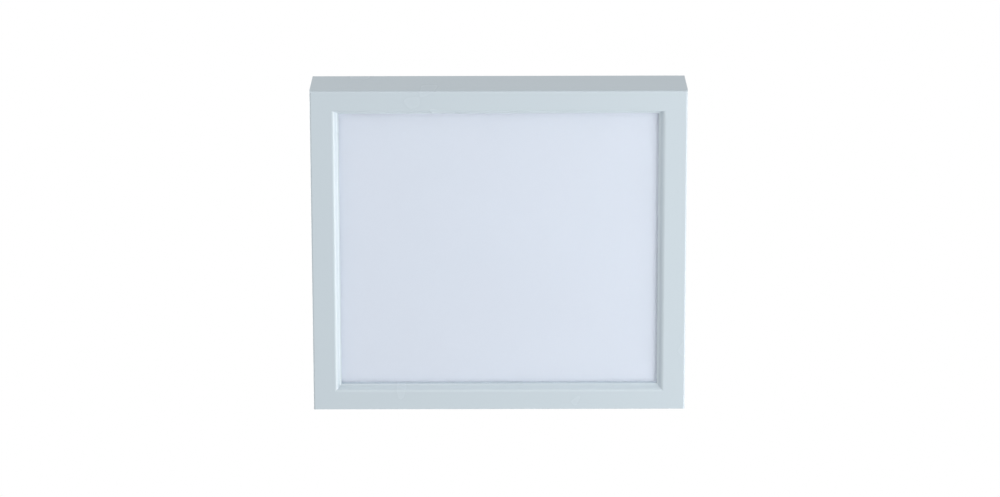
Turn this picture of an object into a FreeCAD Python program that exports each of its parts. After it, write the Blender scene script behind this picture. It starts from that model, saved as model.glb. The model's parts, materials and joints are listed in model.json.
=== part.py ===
import FreeCAD, Part
import math
import os
import Sketcher

# Square flush mount ceiling light: a slim edge-lit LED panel that snaps onto a strap on the ceiling.
# All lengths are in millimetres. The origin is the middle of the strap's cable hole, on the ceiling.
# Z points up into the ceiling, so the lit face looks down, and X runs along the strap.

Vector = FreeCAD.Vector
NEAR = 0.01  # how close an edge lies to the place where it is looked for
TURN_SHARE = 0.45  # share of a lead's run that a turn may take at each end

SIZES = {
    # housing, one casting
    "side": 300.0,  # width of the square front
    "depth": 28.0,  # from the ceiling to the front face
    "band": 3.0,  # straight part of the outer wall, next to the front face
    "back_draft": 2.2,  # how far the wall leans in between the band and the ceiling
    "front_radius": 1.2,  # rounding between front face and outer wall
    "bezel": 18.1,  # flat front frame, from the outer wall to the bevel
    "facet_outer_wide": 2.0,  # steep facet of the bevel
    "facet_outer_deep": 2.7,
    "facet_inner_wide": 2.6,  # shallow facet of the bevel
    "facet_inner_deep": 1.6,
    "lip_thick": 1.5,  # edge of the lip that holds the diffuser
    "lip_cover": 8.7,  # how far the lip reaches under the diffuser
    "wall": 2.0,  # outer wall at the ceiling
    "core_draft": 0.5,  # lean of the outer wall's inner side
    "bezel_thick": 2.5,  # floor of the channel behind the bezel
    "rib_thick": 2.0,  # rib that carries the back plate
    "boss_radius": 3.4,  # screw boss in the channel
    "boss_spread": 60.0,  # side bosses, from the middle of their side
    "notch_wide": 7.0,  # gap in the rib for the lamp leads
    "overcut": 0.1,  # how far a cut runs past the wall that it opens
    "ridge_reach": 3.2,  # ridge that the clip springs catch
    "ridge_long": 40.0,
    "ridge_top": 3.0,  # from the ceiling down to the ridge
    "ridge_high": 3.5,
    "ridge_lead_in": 1.0,  # slope on the ridge's upper side
    "ridge_catch": 1.6,  # slope on the ridge's lower side
    # sheets behind the opening
    "diffuser_thick": 1.5,
    "guide_thick": 3.0,
    "reflector_thick": 0.3,
    "foam_thick": 2.0,
    "foam_inset": 6.0,  # foam's edge, from the pocket's wall
    "sheet_play": 0.5,  # play around each sheet in the pocket
    # light strips
    "tape_thick": 0.2,
    "tape_short": 1.0,  # how far the tape ends before the last light source's middle
    "board_thick": 1.0,
    "board_play": 0.2,  # above and below the upright board
    "board_short": 8.5,  # how far the board ends before the pocket's wall
    "led_thick": 0.7,
    "led_high": 1.4,
    "led_long": 4.0,
    "led_inset": 7.9,  # from the board's end to the last light source's middle
    "led_count": 24,
    "light_gap": 0.6,  # from the light sources to the guide's edge
    # steel back plate
    "plate_thick": 1.0,
    "plate_play": 0.3,
    "bead_end_inset": 55.0,  # from the plate's edge to the bead's end
    "bead_wide": 8.0,
    "bead_high": 1.2,
    "bead_inset": 40.0,
    "screw_radius": 1.4,
    "screw_head_radius": 2.8,
    "screw_head_high": 1.7,
    "screw_long": 8.0,
    "screw_spare": 0.5,  # depth of a hole past the screw's end
    "short_screw_long": 3.8,
    "thread_play": 0.05,  # around a screw in the hole that it cuts
    "pass_play": 0.3,  # around a screw in a plain hole
    "relief_radius": 4.0,  # holes in the foam, under the ends of the screws
    # driver
    "case_y": 58.0,
    "case_long": 124.0,
    "case_wide": 54.0,
    "case_high": 11.6,
    "case_wall": 1.2,
    "case_corner": 3.0,
    "ear_long": 10.0,
    "ear_wide": 14.0,
    "ear_thick": 2.0,
    "spigot_deep": 1.5,
    "spigot_wall": 1.0,
    "spigot_play": 0.15,
    "peg_high": 1.5,
    "peg_radius": 2.0,
    "peg_inset": 6.0,
    "mains_hole_place": 15.0,  # from the middle of the case's end to the mains leads
    "lamp_hole_place": 12.0,  # and to the lamp leads, on the other side of the ear
    "circuit_thick": 1.0,
    "circuit_play": 1.0,
    "core_x": -6.0,  # transformer
    "core_long": 20.0,
    "core_wide": 16.0,
    "core_high": 5.6,
    "core_stand": 0.4,
    "core_rim": 2.4,
    "leg_long": 5.0,
    "leg_high": 2.8,
    "winding_thick": 1.3,
    "winding_play": 0.2,
    "capacitor_x": 20.0,
    "capacitor_radius": 3.0,
    "capacitor_long": 11.0,
    "capacitor_pitch": 8.0,
    "capacitor_count": 3,
    "choke_x": -30.0,
    "choke_radius": 4.0,
    "choke_high": 5.0,
    "choke_groove": 1.0,
    "rectifier_back": 10.0,  # from the connectors in towards the middle
    "rectifier_long": 6.5,
    "rectifier_wide": 5.0,
    "rectifier_high": 1.8,
    "fuse_back": 14.0,
    "fuse_radius": 1.4,
    "fuse_long": 7.0,
    "connector_long": 6.0,
    "connector_inset": 6.0,  # from the case's end
    "mains_connector_wide": 13.0,
    "lamp_connector_wide": 6.0,
    "connector_high": 4.8,
    # mains terminal
    "block_x": 45.0,
    "block_y": -45.0,
    "block_long": 30.0,
    "block_wide": 24.0,
    "block_high": 9.0,
    "pole_pitch": 7.0,
    "entry_radius": 1.8,
    "slot_long": 7.6,
    "slot_wide": 5.0,
    "slot_inset": 7.0,  # from the cable side of the block to the button slots
    "slot_floor": 1.6,
    "button_play": 0.3,
    "button_high": 4.5,
    "button_proud": 1.5,
    "clamp_thick": 0.5,
    "clamp_high": 2.8,
    # leads
    "mains_lead": 2.2,
    "mains_bow": 32.0,  # how far live and neutral swing out past block and driver
    "mains_dip": 2.5,  # how far they sag towards the plate
    "mains_apart": 4.5,
    "lamp_lead": 1.0,
    "lead_play": 0.15,
    "lamp_lead_rest": 0.3,  # under the lamp leads where they lie along the plate
    "lamp_lead_arch": 3.4,  # rise of the lamp leads over their grommet
    "lead_height": 5.0,  # from the back plate to the leads' ends at block and driver
    "lamp_lead_spread": 2.4,
    "grommet_hole": 2.4,
    "grommet_flange": 3.2,
    "grommet_bore": 1.35,
    "grommet_lip": 0.8,
    # earth point
    "earth_x": 104.0,
    "earth_y": -64.0,
    "earth_radius": 1.9,
    "earth_length": 3.6,
    "earth_head_radius": 3.5,
    "earth_head_high": 2.4,
    "washer_radius": 4.5,
    "washer_thick": 0.8,
    "ring_thick": 0.8,
    "barrel_radius": 1.7,
    "barrel_long": 7.0,
    "barrel_end": 1.0,  # closed end of the barrel
    "neck_half": 1.5,  # half length of the neck between barrel and ring
    # ceiling strap
    "strap_clear": 4.0,  # room for the spring between tab and ridge
    "strap_wide": 34.0,
    "strap_thick": 1.2,
    "strap_bend": 0.8,
    "tab_deep": 10.5,
    "flange_inset": 21.0,  # from the strap's end to the flange's end
    "flange_deep": 4.0,
    "flange_slope": 2.5,  # cut off the flange's lower corners
    "cable_hole": 11.0,
    "box_slot_place": 39.5,
    "box_slot_long": 13.5,
    "box_slot_radius": 2.6,
    "end_hole_inset": 31.0,
    "end_hole_spread": 9.0,
    "end_hole_radius": 2.4,
    # clip springs
    "clip_thick": 0.6,
    "clip_wide": 14.0,
    "clip_base_wide": 24.0,
    "clip_top": 2.4,
    "clip_foot": 11.6,
    "clip_foot_reach": 1.9,
    "clip_reach": 5.6,
    "clip_end": 3.4,
    "clip_slope": 1.2,
    "clip_gap": 0.3,
    "rivet_spread": 9.5,
    "rivet_radius": 1.2,
    "rivet_head_radius": 2.0,
    "rivet_head_high": 0.7,
    "rivet_drop": 6.5,
}

PLACES = {
    # heights, all below the ceiling
    "face_z": "-Sizes.depth",
    "crease_z": "Places.face_z + Sizes.facet_outer_deep",
    "lip_z": "Places.crease_z + Sizes.facet_inner_deep",
    "seat_z": "Places.lip_z + Sizes.lip_thick",
    "floor_z": "Places.face_z + Sizes.bezel_thick",
    "guide_z": "Places.seat_z + Sizes.diffuser_thick",
    "led_z": "Places.guide_z + Sizes.guide_thick / 2",
    "reflector_z": "Places.guide_z + Sizes.guide_thick",
    "foam_z": "Places.reflector_z + Sizes.reflector_thick",
    "plate_z": "Places.foam_z + Sizes.foam_thick",
    "plate_top": "Places.plate_z + Sizes.plate_thick",
    "lead_z": "Places.plate_top + Sizes.lead_height",
    # half widths
    "half": "Sizes.side / 2",
    "bevel_half": "Places.half - Sizes.bezel",
    "crease_half": "Places.bevel_half - Sizes.facet_outer_wide",
    "opening_half": "Places.crease_half - Sizes.facet_inner_wide",
    "pocket_half": "Places.opening_half + Sizes.lip_cover",
    "rib_half": "Places.pocket_half + Sizes.rib_thick",
    "rim_half": "Places.half - Sizes.back_draft",
    "core_rim": "Places.rim_half - Sizes.wall",
    "core_foot": "Places.core_rim - Sizes.core_draft",
    "boss_line": "(Places.rib_half + Places.core_foot) / 2",
    "plate_half": "Places.core_foot - Sizes.plate_play",
    "sheet_half": "Places.pocket_half - Sizes.sheet_play",
    "board_back": "Places.pocket_half - Sizes.tape_thick",
    "board_face": "Places.board_back - Sizes.board_thick",
    "led_face": "Places.board_face - Sizes.led_thick",
    "guide_half_x": "Places.led_face - Sizes.light_gap",
    "board_half": "Places.pocket_half - Sizes.board_short",
    "led_half": "Places.board_half - Sizes.led_inset",
    "tape_half": "Places.led_half - Sizes.tape_short",
    "notch_y": "(Places.led_half + Places.board_half) / 2",
    "foam_half": "Places.pocket_half - Sizes.foam_inset",
    "bead_half": "Places.plate_half - Sizes.bead_end_inset",
    "bead_place": "Places.plate_half - Sizes.bead_inset",
    # ridge and clip, in the plane through the middle of the lamp
    "ridge_half": "Places.core_rim - Sizes.ridge_reach",
    "ridge_foot": "-Sizes.ridge_top - Sizes.ridge_high",
    "strap_half": "Places.ridge_half - Sizes.strap_clear",
    "flange_half": "Places.strap_half - Sizes.flange_inset",
    "end_hole_place": "Places.strap_half - Sizes.end_hole_inset",
    "apex_x": "Places.strap_half + Sizes.clip_reach",
    "apex_z": "Places.ridge_foot + Sizes.ridge_catch - (Places.apex_x - Places.ridge_half) * "
    "Sizes.clip_slope - Sizes.clip_gap * sqrt(1 + Sizes.clip_slope ^ 2)",
    # driver
    "case_floor": "Places.plate_top + Sizes.case_wall",
    "case_rim": "Places.plate_top + Sizes.case_high - Sizes.case_wall",
    "circuit_z": "Places.case_floor + Sizes.peg_high",
    "circuit_top": "Places.circuit_z + Sizes.circuit_thick",
    "ear_x": "Sizes.case_long / 2 + Sizes.ear_long / 2",
    "driver_mains_y": "Sizes.case_y - Sizes.mains_hole_place",
    "driver_lamp_y": "Sizes.case_y + Sizes.lamp_hole_place",
    "connector_face": "Sizes.case_long / 2 - Sizes.connector_inset",
    "connector_x": "Places.connector_face - Sizes.connector_long / 2",
    "rectifier_x": "Places.connector_x - Sizes.rectifier_back",
    "fuse_x": "Places.connector_x - Sizes.fuse_back",
    "core_z": "Places.circuit_top + Sizes.core_stand",
    "leg_z": "Places.core_z + Sizes.core_high / 2",
    # terminal
    "block_top": "Places.plate_top + Sizes.block_high",
    "slot_x": "Sizes.block_x - Sizes.block_long / 2 + Sizes.slot_inset + Sizes.slot_long / 2",
    "clamp_back": "Places.slot_x + Sizes.slot_long / 2 - Sizes.button_play",
    "block_screw_y": "Sizes.block_wide / 2 + Sizes.ear_long / 2",
    # earth point
    "barrel_z": "Places.plate_top + Sizes.barrel_radius",
}

document = FreeCAD.newDocument("ceiling_light")


def fill(name, cells):
    """A spreadsheet with one aliased row for each named cell."""
    sheet = document.addObject("Spreadsheet::Sheet", name)
    for row, (alias, content) in enumerate(cells.items(), start=1):
        sheet.set(f"A{row}", alias)
        sheet.set(f"B{row}", content)
        sheet.setAlias(f"B{row}", alias)
    return sheet


sizes = fill("Sizes", {alias: str(value) for alias, value in SIZES.items()})
places = fill("Places", {alias: "=" + formula for alias, formula in PLACES.items()})
document.recompute()


def number(formula):
    """The value that a formula over the sheets has now."""
    value = sizes.evalExpression(formula)
    return float(getattr(value, "Value", value))


def new_body(label, apart=False):
    """A body with its label, which may hold several solids if they lie apart."""
    body = document.addObject("PartDesign::Body", label)
    body.Label = label
    body.AllowCompound = apart
    return body


def datum(body, role):
    """One of the body's own origin planes or axes."""
    return next(feature for feature in body.Origin.OriginFeatures if feature.Role == role)


def sketch(body, name, role="XY_Plane", offset="0"):
    """A sketch on an origin plane of its body, shifted along the plane's normal."""
    drawn = body.newObject("Sketcher::SketchObject", name)
    drawn.AttachmentSupport = [(datum(body, role), "")]
    drawn.MapMode = "FlatFace"
    drawn.setExpression("AttachmentOffset.Base.z", offset)
    return drawn


def bind(drawn, kind, references, formula):
    """A dimension of the sketch that follows a formula."""
    place = drawn.addConstraint(Sketcher.Constraint(kind, *references, number(formula)))
    drawn.setExpression(f"Constraints[{place}]", formula)


def hold(drawn, edge, end, x, y):
    """Hold a point of an edge at formulas, measured from the sketch's origin."""
    bind(drawn, "DistanceX", (-1, 1, edge, end), x)
    bind(drawn, "DistanceY", (-1, 1, edge, end), y)


def polygon(drawn, corners):
    """A closed straight-edged outline, each corner held at its two formulas."""
    points = [Vector(number(x), number(y), 0) for x, y in corners]
    first = drawn.GeometryCount
    for index, start in enumerate(points):
        drawn.addGeometry(Part.LineSegment(start, points[(index + 1) % len(points)]), False)
    for index, (x, y) in enumerate(corners):
        following = first + (index + 1) % len(corners)
        drawn.addConstraint(Sketcher.Constraint("Coincident", first + index, 2, following, 1))
        hold(drawn, first + index, 1, x, y)


def rectangle(drawn, low_x, high_x, low_y, high_y):
    """A rectangle between four formulas."""
    polygon(drawn, [(low_x, low_y), (high_x, low_y), (high_x, high_y), (low_x, high_y)])


def square(drawn, half):
    """A square around the sketch's origin."""
    rectangle(drawn, f"-({half})", half, f"-({half})", half)


def circle(drawn, x, y, radius):
    """A circle held at its centre."""
    ring = Part.Circle(Vector(number(x), number(y), 0), Vector(0, 0, 1), number(radius))
    edge = drawn.addGeometry(ring, False)
    hold(drawn, edge, 3, x, y)
    bind(drawn, "Radius", (edge,), radius)


def solid_volume(body):
    """The body's volume so far."""
    document.recompute()
    return body.Shape.Volume if not body.Shape.isNull() else 0.0


def pad(body, name, drawn, length, reverse=False, middle=False):
    """Material over a sketch."""
    before = solid_volume(body)
    feature = body.newObject("PartDesign::Pad", name)
    feature.Profile = drawn
    feature.setExpression("Length", length)
    feature.Reversed = reverse
    feature.Midplane = middle
    if solid_volume(body) <= before:
        raise ValueError(f"{body.Label}: {name} adds nothing")
    return feature


def pocket(body, name, drawn, depth, reverse=False, middle=False):
    """A cut under a sketch."""
    before = solid_volume(body)
    feature = body.newObject("PartDesign::Pocket", name)
    feature.Profile = drawn
    feature.setExpression("Length", depth)
    feature.Reversed = reverse
    feature.Midplane = middle
    if solid_volume(body) >= before:
        raise ValueError(f"{body.Label}: {name} cuts nothing")
    return feature


def edges(feature, wanted):
    """Names of the feature's edges that meet a condition."""
    return [f"Edge{index}" for index, edge in enumerate(feature.Shape.Edges, 1) if wanted(edge)]


def dress(body, kind, name, base, wanted, size):
    """A fillet or chamfer on the edges that meet a condition."""
    document.recompute()
    feature = body.newObject(f"PartDesign::{kind}", name)
    feature.Base = (base, edges(base, wanted))
    feature.setExpression("Radius" if kind == "Fillet" else "Size", size)
    document.recompute()
    return feature


def upright(edge):
    """Whether an edge runs along Z."""
    return isinstance(edge.Curve, Part.Line) and abs(edge.Curve.Direction.z) > 0.999


def pattern(body, kind, name, originals, axis, **values):
    """A linear, polar or mirrored repeat of features, made the body's tip."""
    feature = body.newObject(f"PartDesign::{kind}", name)
    feature.Originals = originals
    reference = {"LinearPattern": "Direction", "PolarPattern": "Axis", "Mirrored": "MirrorPlane"}[kind]
    setattr(feature, reference, (datum(body, axis), [""]))
    for key, formula in values.items():
        feature.setExpression(key, formula)
    body.Tip = feature
    document.recompute()
    return feature


def slot(drawn, low_x, high_x, y, radius):
    """A slot along X between the centres of its round ends."""
    start, end, level, reach = number(low_x), number(high_x), number(y), number(radius)
    up = Vector(0, 0, 1)
    left = Part.ArcOfCircle(Part.Circle(Vector(start, level, 0), up, reach), math.pi / 2, 3 * math.pi / 2)
    right = Part.ArcOfCircle(Part.Circle(Vector(end, level, 0), up, reach), -math.pi / 2, math.pi / 2)
    left, right = drawn.addGeometry(left, False), drawn.addGeometry(right, False)
    lower = drawn.addGeometry(
        Part.LineSegment(Vector(start, level - reach, 0), Vector(end, level - reach, 0)), False
    )
    upper = drawn.addGeometry(
        Part.LineSegment(Vector(end, level + reach, 0), Vector(start, level + reach, 0)), False
    )
    for arc, end_of_arc, line, end_of_line in (
        (left, 2, lower, 1),
        (lower, 2, right, 1),
        (right, 2, upper, 1),
        (upper, 2, left, 1),
    ):
        drawn.addConstraint(Sketcher.Constraint("Tangent", arc, end_of_arc, line, end_of_line))
    drawn.addConstraint(Sketcher.Constraint("Equal", left, right))
    hold(drawn, left, 3, low_x, y)
    hold(drawn, right, 3, high_x, y)
    bind(drawn, "Radius", (left,), radius)


# Housing

def boss_sketch(body, name, offset, radius):
    """Circles at the three screw places of one side, which the pattern repeats on the others."""
    drawn = sketch(body, name, offset=offset)
    for x in ("-Sizes.boss_spread", "Sizes.boss_spread", "Places.boss_line"):
        circle(drawn, x, "Places.boss_line", radius)
    return drawn


def housing():
    """The cast frame: one wall section carried round the square, with bosses, notches and ridges."""
    body = new_body("housing")
    path = sketch(body, "way_round")
    way = [
        ("0", "-Places.half"),
        ("Places.half", "-Places.half"),
        ("Places.half", "Places.half"),
        ("-Places.half", "Places.half"),
        ("-Places.half", "-Places.half"),
    ]
    polygon(path, way)
    section = sketch(body, "wall_section", "YZ_Plane")
    corners = [
        ("Places.half", "Places.face_z"),
        ("Places.half", "Places.face_z + Sizes.band"),
        ("Places.rim_half", "0"),
        ("Places.core_rim", "0"),
        ("Places.core_foot", "Places.floor_z"),
        ("Places.rib_half", "Places.floor_z"),
        ("Places.rib_half", "Places.plate_z"),
        ("Places.pocket_half", "Places.plate_z"),
        ("Places.pocket_half", "Places.seat_z"),
        ("Places.opening_half", "Places.seat_z"),
        ("Places.opening_half", "Places.lip_z"),
        ("Places.crease_half", "Places.crease_z"),
        ("Places.bevel_half", "Places.face_z"),
    ]
    polygon(section, [(f"-({reach})", height) for reach, height in corners])
    frame = body.newObject("PartDesign::AdditivePipe", "frame")
    frame.Profile = section
    frame.Spine = (path, [])
    frame.Transition = "Right corner"
    document.recompute()
    half, face = places.half, places.face_z

    def front_rim(edge):
        """Whether an edge is one of the four outer edges of the front face."""
        middle = edge.CenterOfMass
        return abs(middle.z - face) < NEAR and abs(max(abs(middle.x), abs(middle.y)) - half) < NEAR

    dress(body, "Fillet", "front_rounding", frame, front_rim, "Sizes.front_radius")
    bosses = pad(body, "bosses", boss_sketch(body, "boss_outline", "Places.floor_z", "Sizes.boss_radius"),
                 "Places.plate_z - Places.floor_z")
    pattern(body, "PolarPattern", "all_bosses", [bosses], "Z_Axis", Occurrences="4")
    screw_depth = "Sizes.screw_long - Sizes.plate_thick + Sizes.screw_spare"
    hole_radius = "Sizes.screw_radius + Sizes.thread_play"
    hole_outline = boss_sketch(body, "screw_hole_outline", "Places.plate_z", hole_radius)
    holes = pocket(body, "screw_holes", hole_outline, screw_depth)
    pattern(body, "PolarPattern", "all_screw_holes", [holes], "Z_Axis", Occurrences="4")
    notch = sketch(body, "notch_outline", offset="Places.plate_z")
    rectangle(notch, "Places.pocket_half - Sizes.overcut", "Places.rib_half + Sizes.overcut",
              "Places.notch_y - Sizes.notch_wide / 2", "Places.notch_y + Sizes.notch_wide / 2")
    notch_cut = pocket(body, "notch", notch, "Places.plate_z - Places.led_z + Sizes.lamp_lead")
    pattern(body, "Mirrored", "both_notches", [notch_cut], "YZ_Plane")
    ridge = sketch(body, "ridge_section", "XZ_Plane")
    root, wall = "Places.core_rim + Sizes.wall / 4", "Places.core_rim - Sizes.overcut"
    polygon(ridge, [
        (root, "-Sizes.ridge_top"),
        (wall, "-Sizes.ridge_top"),
        ("Places.ridge_half", "-Sizes.ridge_top - Sizes.ridge_lead_in"),
        ("Places.ridge_half", "Places.ridge_foot + Sizes.ridge_catch"),
        (wall, "Places.ridge_foot"),
        (root, "Places.ridge_foot"),
    ])
    catch = pad(body, "ridge", ridge, "Sizes.ridge_long", middle=True)
    pattern(body, "Mirrored", "both_ridges", [catch], "YZ_Plane")
    return body


# Sheets behind the opening

def sheet_of(label, half_x, half_y, low, thick, relief=()):
    """A flat sheet, with round relief holes where screw ends reach into it."""
    body = new_body(label)
    drawn = sketch(body, label + "_outline", offset=low)
    rectangle(drawn, f"-({half_x})", half_x, f"-({half_y})", half_y)
    pad(body, label + "_pad", drawn, thick)
    if relief:
        holes = sketch(body, label + "_relief", offset=f"{low} + {thick}")
        for x, y in relief:
            circle(holes, x, y, "Sizes.relief_radius")
        pocket(body, label + "_relief_cut", holes, thick)
    return body


# Light strips, one at each end of the guide

def upright_bar(label, low_x, high_x, half_y, low_z, high_z, side):
    """A thin bar that stands against the pocket's wall, on the side given by its sign."""
    body = new_body(label)
    drawn = sketch(body, label + "_outline", offset=low_z)
    near, far = (low_x, high_x) if side > 0 else (f"-({high_x})", f"-({low_x})")
    rectangle(drawn, near, far, f"-({half_y})", half_y)
    pad(body, label + "_pad", drawn, f"{high_z} - ({low_z})")
    return body


def led_row(label, side):
    """Light sources along a board, at an even pitch."""
    body = new_body(label, apart=True)
    drawn = sketch(body, label + "_outline", offset="Places.led_z - Sizes.led_high / 2")
    near, far = "Places.led_face", "Places.board_face"
    if side < 0:
        near, far = f"-({far})", f"-({near})"
    start = "-Places.led_half"
    rectangle(drawn, near, far, f"{start} - Sizes.led_long / 2", f"{start} + Sizes.led_long / 2")
    first = pad(body, label + "_first", drawn, "Sizes.led_high")
    pattern(body, "LinearPattern", label + "_row", [first], "Y_Axis",
            Length="2 * Places.led_half", Occurrences="Sizes.led_count")
    return body


# Screws

def screws(label, spots, underside, radius, length, head_radius, head_high):
    """Pan head screws with their heads above the given height. Threads and drive are left out."""
    body = new_body(label, apart=True)
    heads = sketch(body, label + "_heads", offset=underside)
    shanks = sketch(body, label + "_shanks", offset=underside)
    for x, y in spots:
        circle(heads, x, y, head_radius)
        circle(shanks, x, y, radius)
    head = pad(body, label + "_head", heads, head_high)
    top = number(underside) + number(head_high)
    crown = dress(body, "Chamfer", label + "_crown", head,
                  lambda edge: abs(edge.CenterOfMass.z - top) < NEAR, f"{head_high} / 3")
    body.Tip = crown
    pad(body, label + "_shank", shanks, length, reverse=True)
    return body


def around(x, y):
    """The same place in each quarter of the square."""
    return [(x, y), (f"-({y})", x), (f"-({x})", f"-({y})"), (y, f"-({x})")]


PLATE_SCREWS = (
    around("Sizes.boss_spread", "Places.boss_line")
    + around("-Sizes.boss_spread", "Places.boss_line")
    + around("Places.boss_line", "Places.boss_line")
)
CASE_SCREWS = [("Places.ear_x", "Sizes.case_y"), ("-Places.ear_x", "Sizes.case_y")]
BLOCK_SCREWS = [
    ("Sizes.block_x", "Sizes.block_y + Places.block_screw_y"),
    ("Sizes.block_x", "Sizes.block_y - Places.block_screw_y"),
]
EARTH = [("Sizes.earth_x", "Sizes.earth_y")]
GROMMETS = [("Places.boss_line", "Places.notch_y"), ("-Places.boss_line", "Places.notch_y")]


# Back plate

def back_plate():
    """The pressed steel plate that closes the housing and carries driver and terminal."""
    body = new_body("back_plate")
    drawn = sketch(body, "plate_outline", offset="Places.plate_z")
    square(drawn, "Places.plate_half")
    pad(body, "plate", drawn, "Sizes.plate_thick")
    bead = sketch(body, "bead_outline", offset="Places.plate_top")
    hollow = sketch(body, "bead_hollow", offset="Places.plate_z")
    for drawn, shrink in ((bead, "0"), (hollow, "Sizes.plate_thick")):
        slot(drawn, "-Places.bead_half", "Places.bead_half", "Places.bead_place",
             f"Sizes.bead_wide / 2 - {shrink}")
    raised = pad(body, "bead", bead, "Sizes.bead_high")
    sunk = pocket(body, "bead_underside", hollow, "Sizes.bead_high", reverse=True)
    pattern(body, "PolarPattern", "both_beads", [raised, sunk], "Z_Axis", Occurrences="2")
    plain = sketch(body, "screw_clearance", offset="Places.plate_top")
    for x, y in PLATE_SCREWS:
        circle(plain, x, y, "Sizes.screw_radius + Sizes.pass_play")
    tapped = "Sizes.screw_radius + Sizes.thread_play"
    for x, y in CASE_SCREWS + BLOCK_SCREWS:
        circle(plain, x, y, tapped)
    for x, y in EARTH:
        circle(plain, x, y, "Sizes.earth_radius + Sizes.thread_play")
    for x, y in GROMMETS:
        circle(plain, x, y, "Sizes.grommet_hole")
    pocket(body, "holes", plain, "Sizes.plate_thick")
    return body


def grommets():
    """Rubber rings in the back plate, where the lamp leads pass through it."""
    body = new_body("lead_grommets", apart=True)
    collar = sketch(body, "collar", offset="Places.plate_z")
    upper = sketch(body, "upper_flange", offset="Places.plate_top")
    lower = sketch(body, "lower_flange", offset="Places.plate_z")
    bore = sketch(body, "bore", offset="Places.plate_top + Sizes.grommet_lip")
    for x, y in GROMMETS:
        circle(collar, x, y, "Sizes.grommet_hole")
        circle(upper, x, y, "Sizes.grommet_flange")
        circle(lower, x, y, "Sizes.grommet_flange")
        circle(bore, x, y, "Sizes.grommet_bore")
    pad(body, "collar_pad", collar, "Sizes.plate_thick")
    pad(body, "upper_pad", upper, "Sizes.grommet_lip")
    pad(body, "lower_pad", lower, "Sizes.grommet_lip", reverse=True)
    pocket(body, "bore_cut", bore, "Sizes.plate_thick + 2 * Sizes.grommet_lip")
    return body


# Driver

def case_outline(body, name, offset, inset="0"):
    """The rectangle of the driver's case, or one drawn in from it."""
    drawn = sketch(body, name, offset=offset)
    rectangle(drawn, f"{inset} - Sizes.case_long / 2", f"Sizes.case_long / 2 - ({inset})",
              f"Sizes.case_y - Sizes.case_wide / 2 + {inset}",
              f"Sizes.case_y + Sizes.case_wide / 2 - ({inset})")
    return drawn


def driver_case_base():
    """The driver's tray with its ears, pegs and lead holes."""
    body = new_body("driver_case_base")
    block = pad(body, "tray", case_outline(body, "tray_outline", "Places.plate_top"),
                "Places.case_rim - Places.plate_top")
    dress(body, "Fillet", "tray_corners", block, upright, "Sizes.case_corner")
    ears = sketch(body, "ear_outline", offset="Places.plate_top")
    rectangle(ears, "-Sizes.case_long / 2 - Sizes.ear_long", "Sizes.case_long / 2 + Sizes.ear_long",
              "Sizes.case_y - Sizes.ear_wide / 2", "Sizes.case_y + Sizes.ear_wide / 2")
    ear = pad(body, "ears", ears, "Sizes.ear_thick")
    far = sizes.case_long / 2 + sizes.ear_long
    dress(body, "Fillet", "ear_corners", ear,
          lambda edge: upright(edge) and abs(abs(edge.CenterOfMass.x) - far) < NEAR, "Sizes.case_corner")
    hollow = case_outline(body, "hollow_outline", "Places.case_rim", "Sizes.case_wall")
    pocket(body, "hollow", hollow, "Places.case_rim - Places.case_floor")
    pegs = sketch(body, "peg_outline", offset="Places.case_floor")
    holes = sketch(body, "ear_holes", offset="Places.plate_top + Sizes.ear_thick")
    for side in ("-", ""):
        circle(holes, f"{side}Places.ear_x", "Sizes.case_y", "Sizes.screw_radius + Sizes.pass_play")
        for row in ("-", "+"):
            circle(pegs, f"{side}(Sizes.case_long / 2 - Sizes.peg_inset)",
                   f"Sizes.case_y {row} (Sizes.case_wide / 2 - Sizes.peg_inset)", "Sizes.peg_radius")
    pad(body, "pegs", pegs, "Sizes.peg_high")
    pocket(body, "ear_hole_cut", holes, "Sizes.ear_thick")
    mains = sketch(body, "mains_holes", "YZ_Plane", "Sizes.case_long / 2")
    for row in ("-", "+"):
        circle(mains, f"Places.driver_mains_y {row} Sizes.pole_pitch / 2", "Places.lead_z",
               "Sizes.mains_lead / 2 + Sizes.lead_play")
    pocket(body, "mains_hole_cut", mains, "Sizes.case_wall")
    lamp = sketch(body, "lamp_holes", "YZ_Plane", "Sizes.case_long / 2")
    for row in ("-", "+"):
        circle(lamp, f"Places.driver_lamp_y {row} Sizes.lamp_lead_spread / 2", "Places.lead_z",
               "Sizes.lamp_lead / 2 + Sizes.lead_play")
    lamp_cut = pocket(body, "lamp_hole_cut", lamp, "Sizes.case_wall")
    pattern(body, "Mirrored", "both_lamp_holes", [lamp_cut], "YZ_Plane")
    return body


def driver_case_lid():
    """The driver's lid, with a spigot that drops into the tray."""
    body = new_body("driver_case_lid")
    cover = pad(body, "cover", case_outline(body, "cover_outline", "Places.case_rim"), "Sizes.case_wall")
    dress(body, "Fillet", "cover_corners", cover, upright, "Sizes.case_corner")
    reach = "Sizes.case_wall + Sizes.spigot_play"
    pad(body, "spigot", case_outline(body, "spigot_outline", "Places.case_rim", reach),
        "Sizes.spigot_deep", reverse=True)
    inner = case_outline(body, "spigot_inside", "Places.case_rim", f"{reach} + Sizes.spigot_wall")
    pocket(body, "spigot_hollow", inner, "Sizes.spigot_deep")
    return body


def driver_board():
    """The driver's circuit board, on the pegs of the tray."""
    body = new_body("driver_board")
    drawn = case_outline(body, "circuit_outline", "Places.circuit_z",
                         "Sizes.case_wall + Sizes.circuit_play")
    pad(body, "circuit", drawn, "Sizes.circuit_thick")
    return body


def block_part(label, boxes, low, high):
    """Plain components that stand on the circuit board, given by centre and size in X and Y."""
    body = new_body(label, apart=True)
    drawn = sketch(body, label + "_outline", offset=low)
    for x, y, long, wide in boxes:
        rectangle(drawn, f"{x} - {long} / 2", f"{x} + {long} / 2", f"{y} - {wide} / 2", f"{y} + {wide} / 2")
    pad(body, label + "_pad", drawn, high)
    return body


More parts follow.
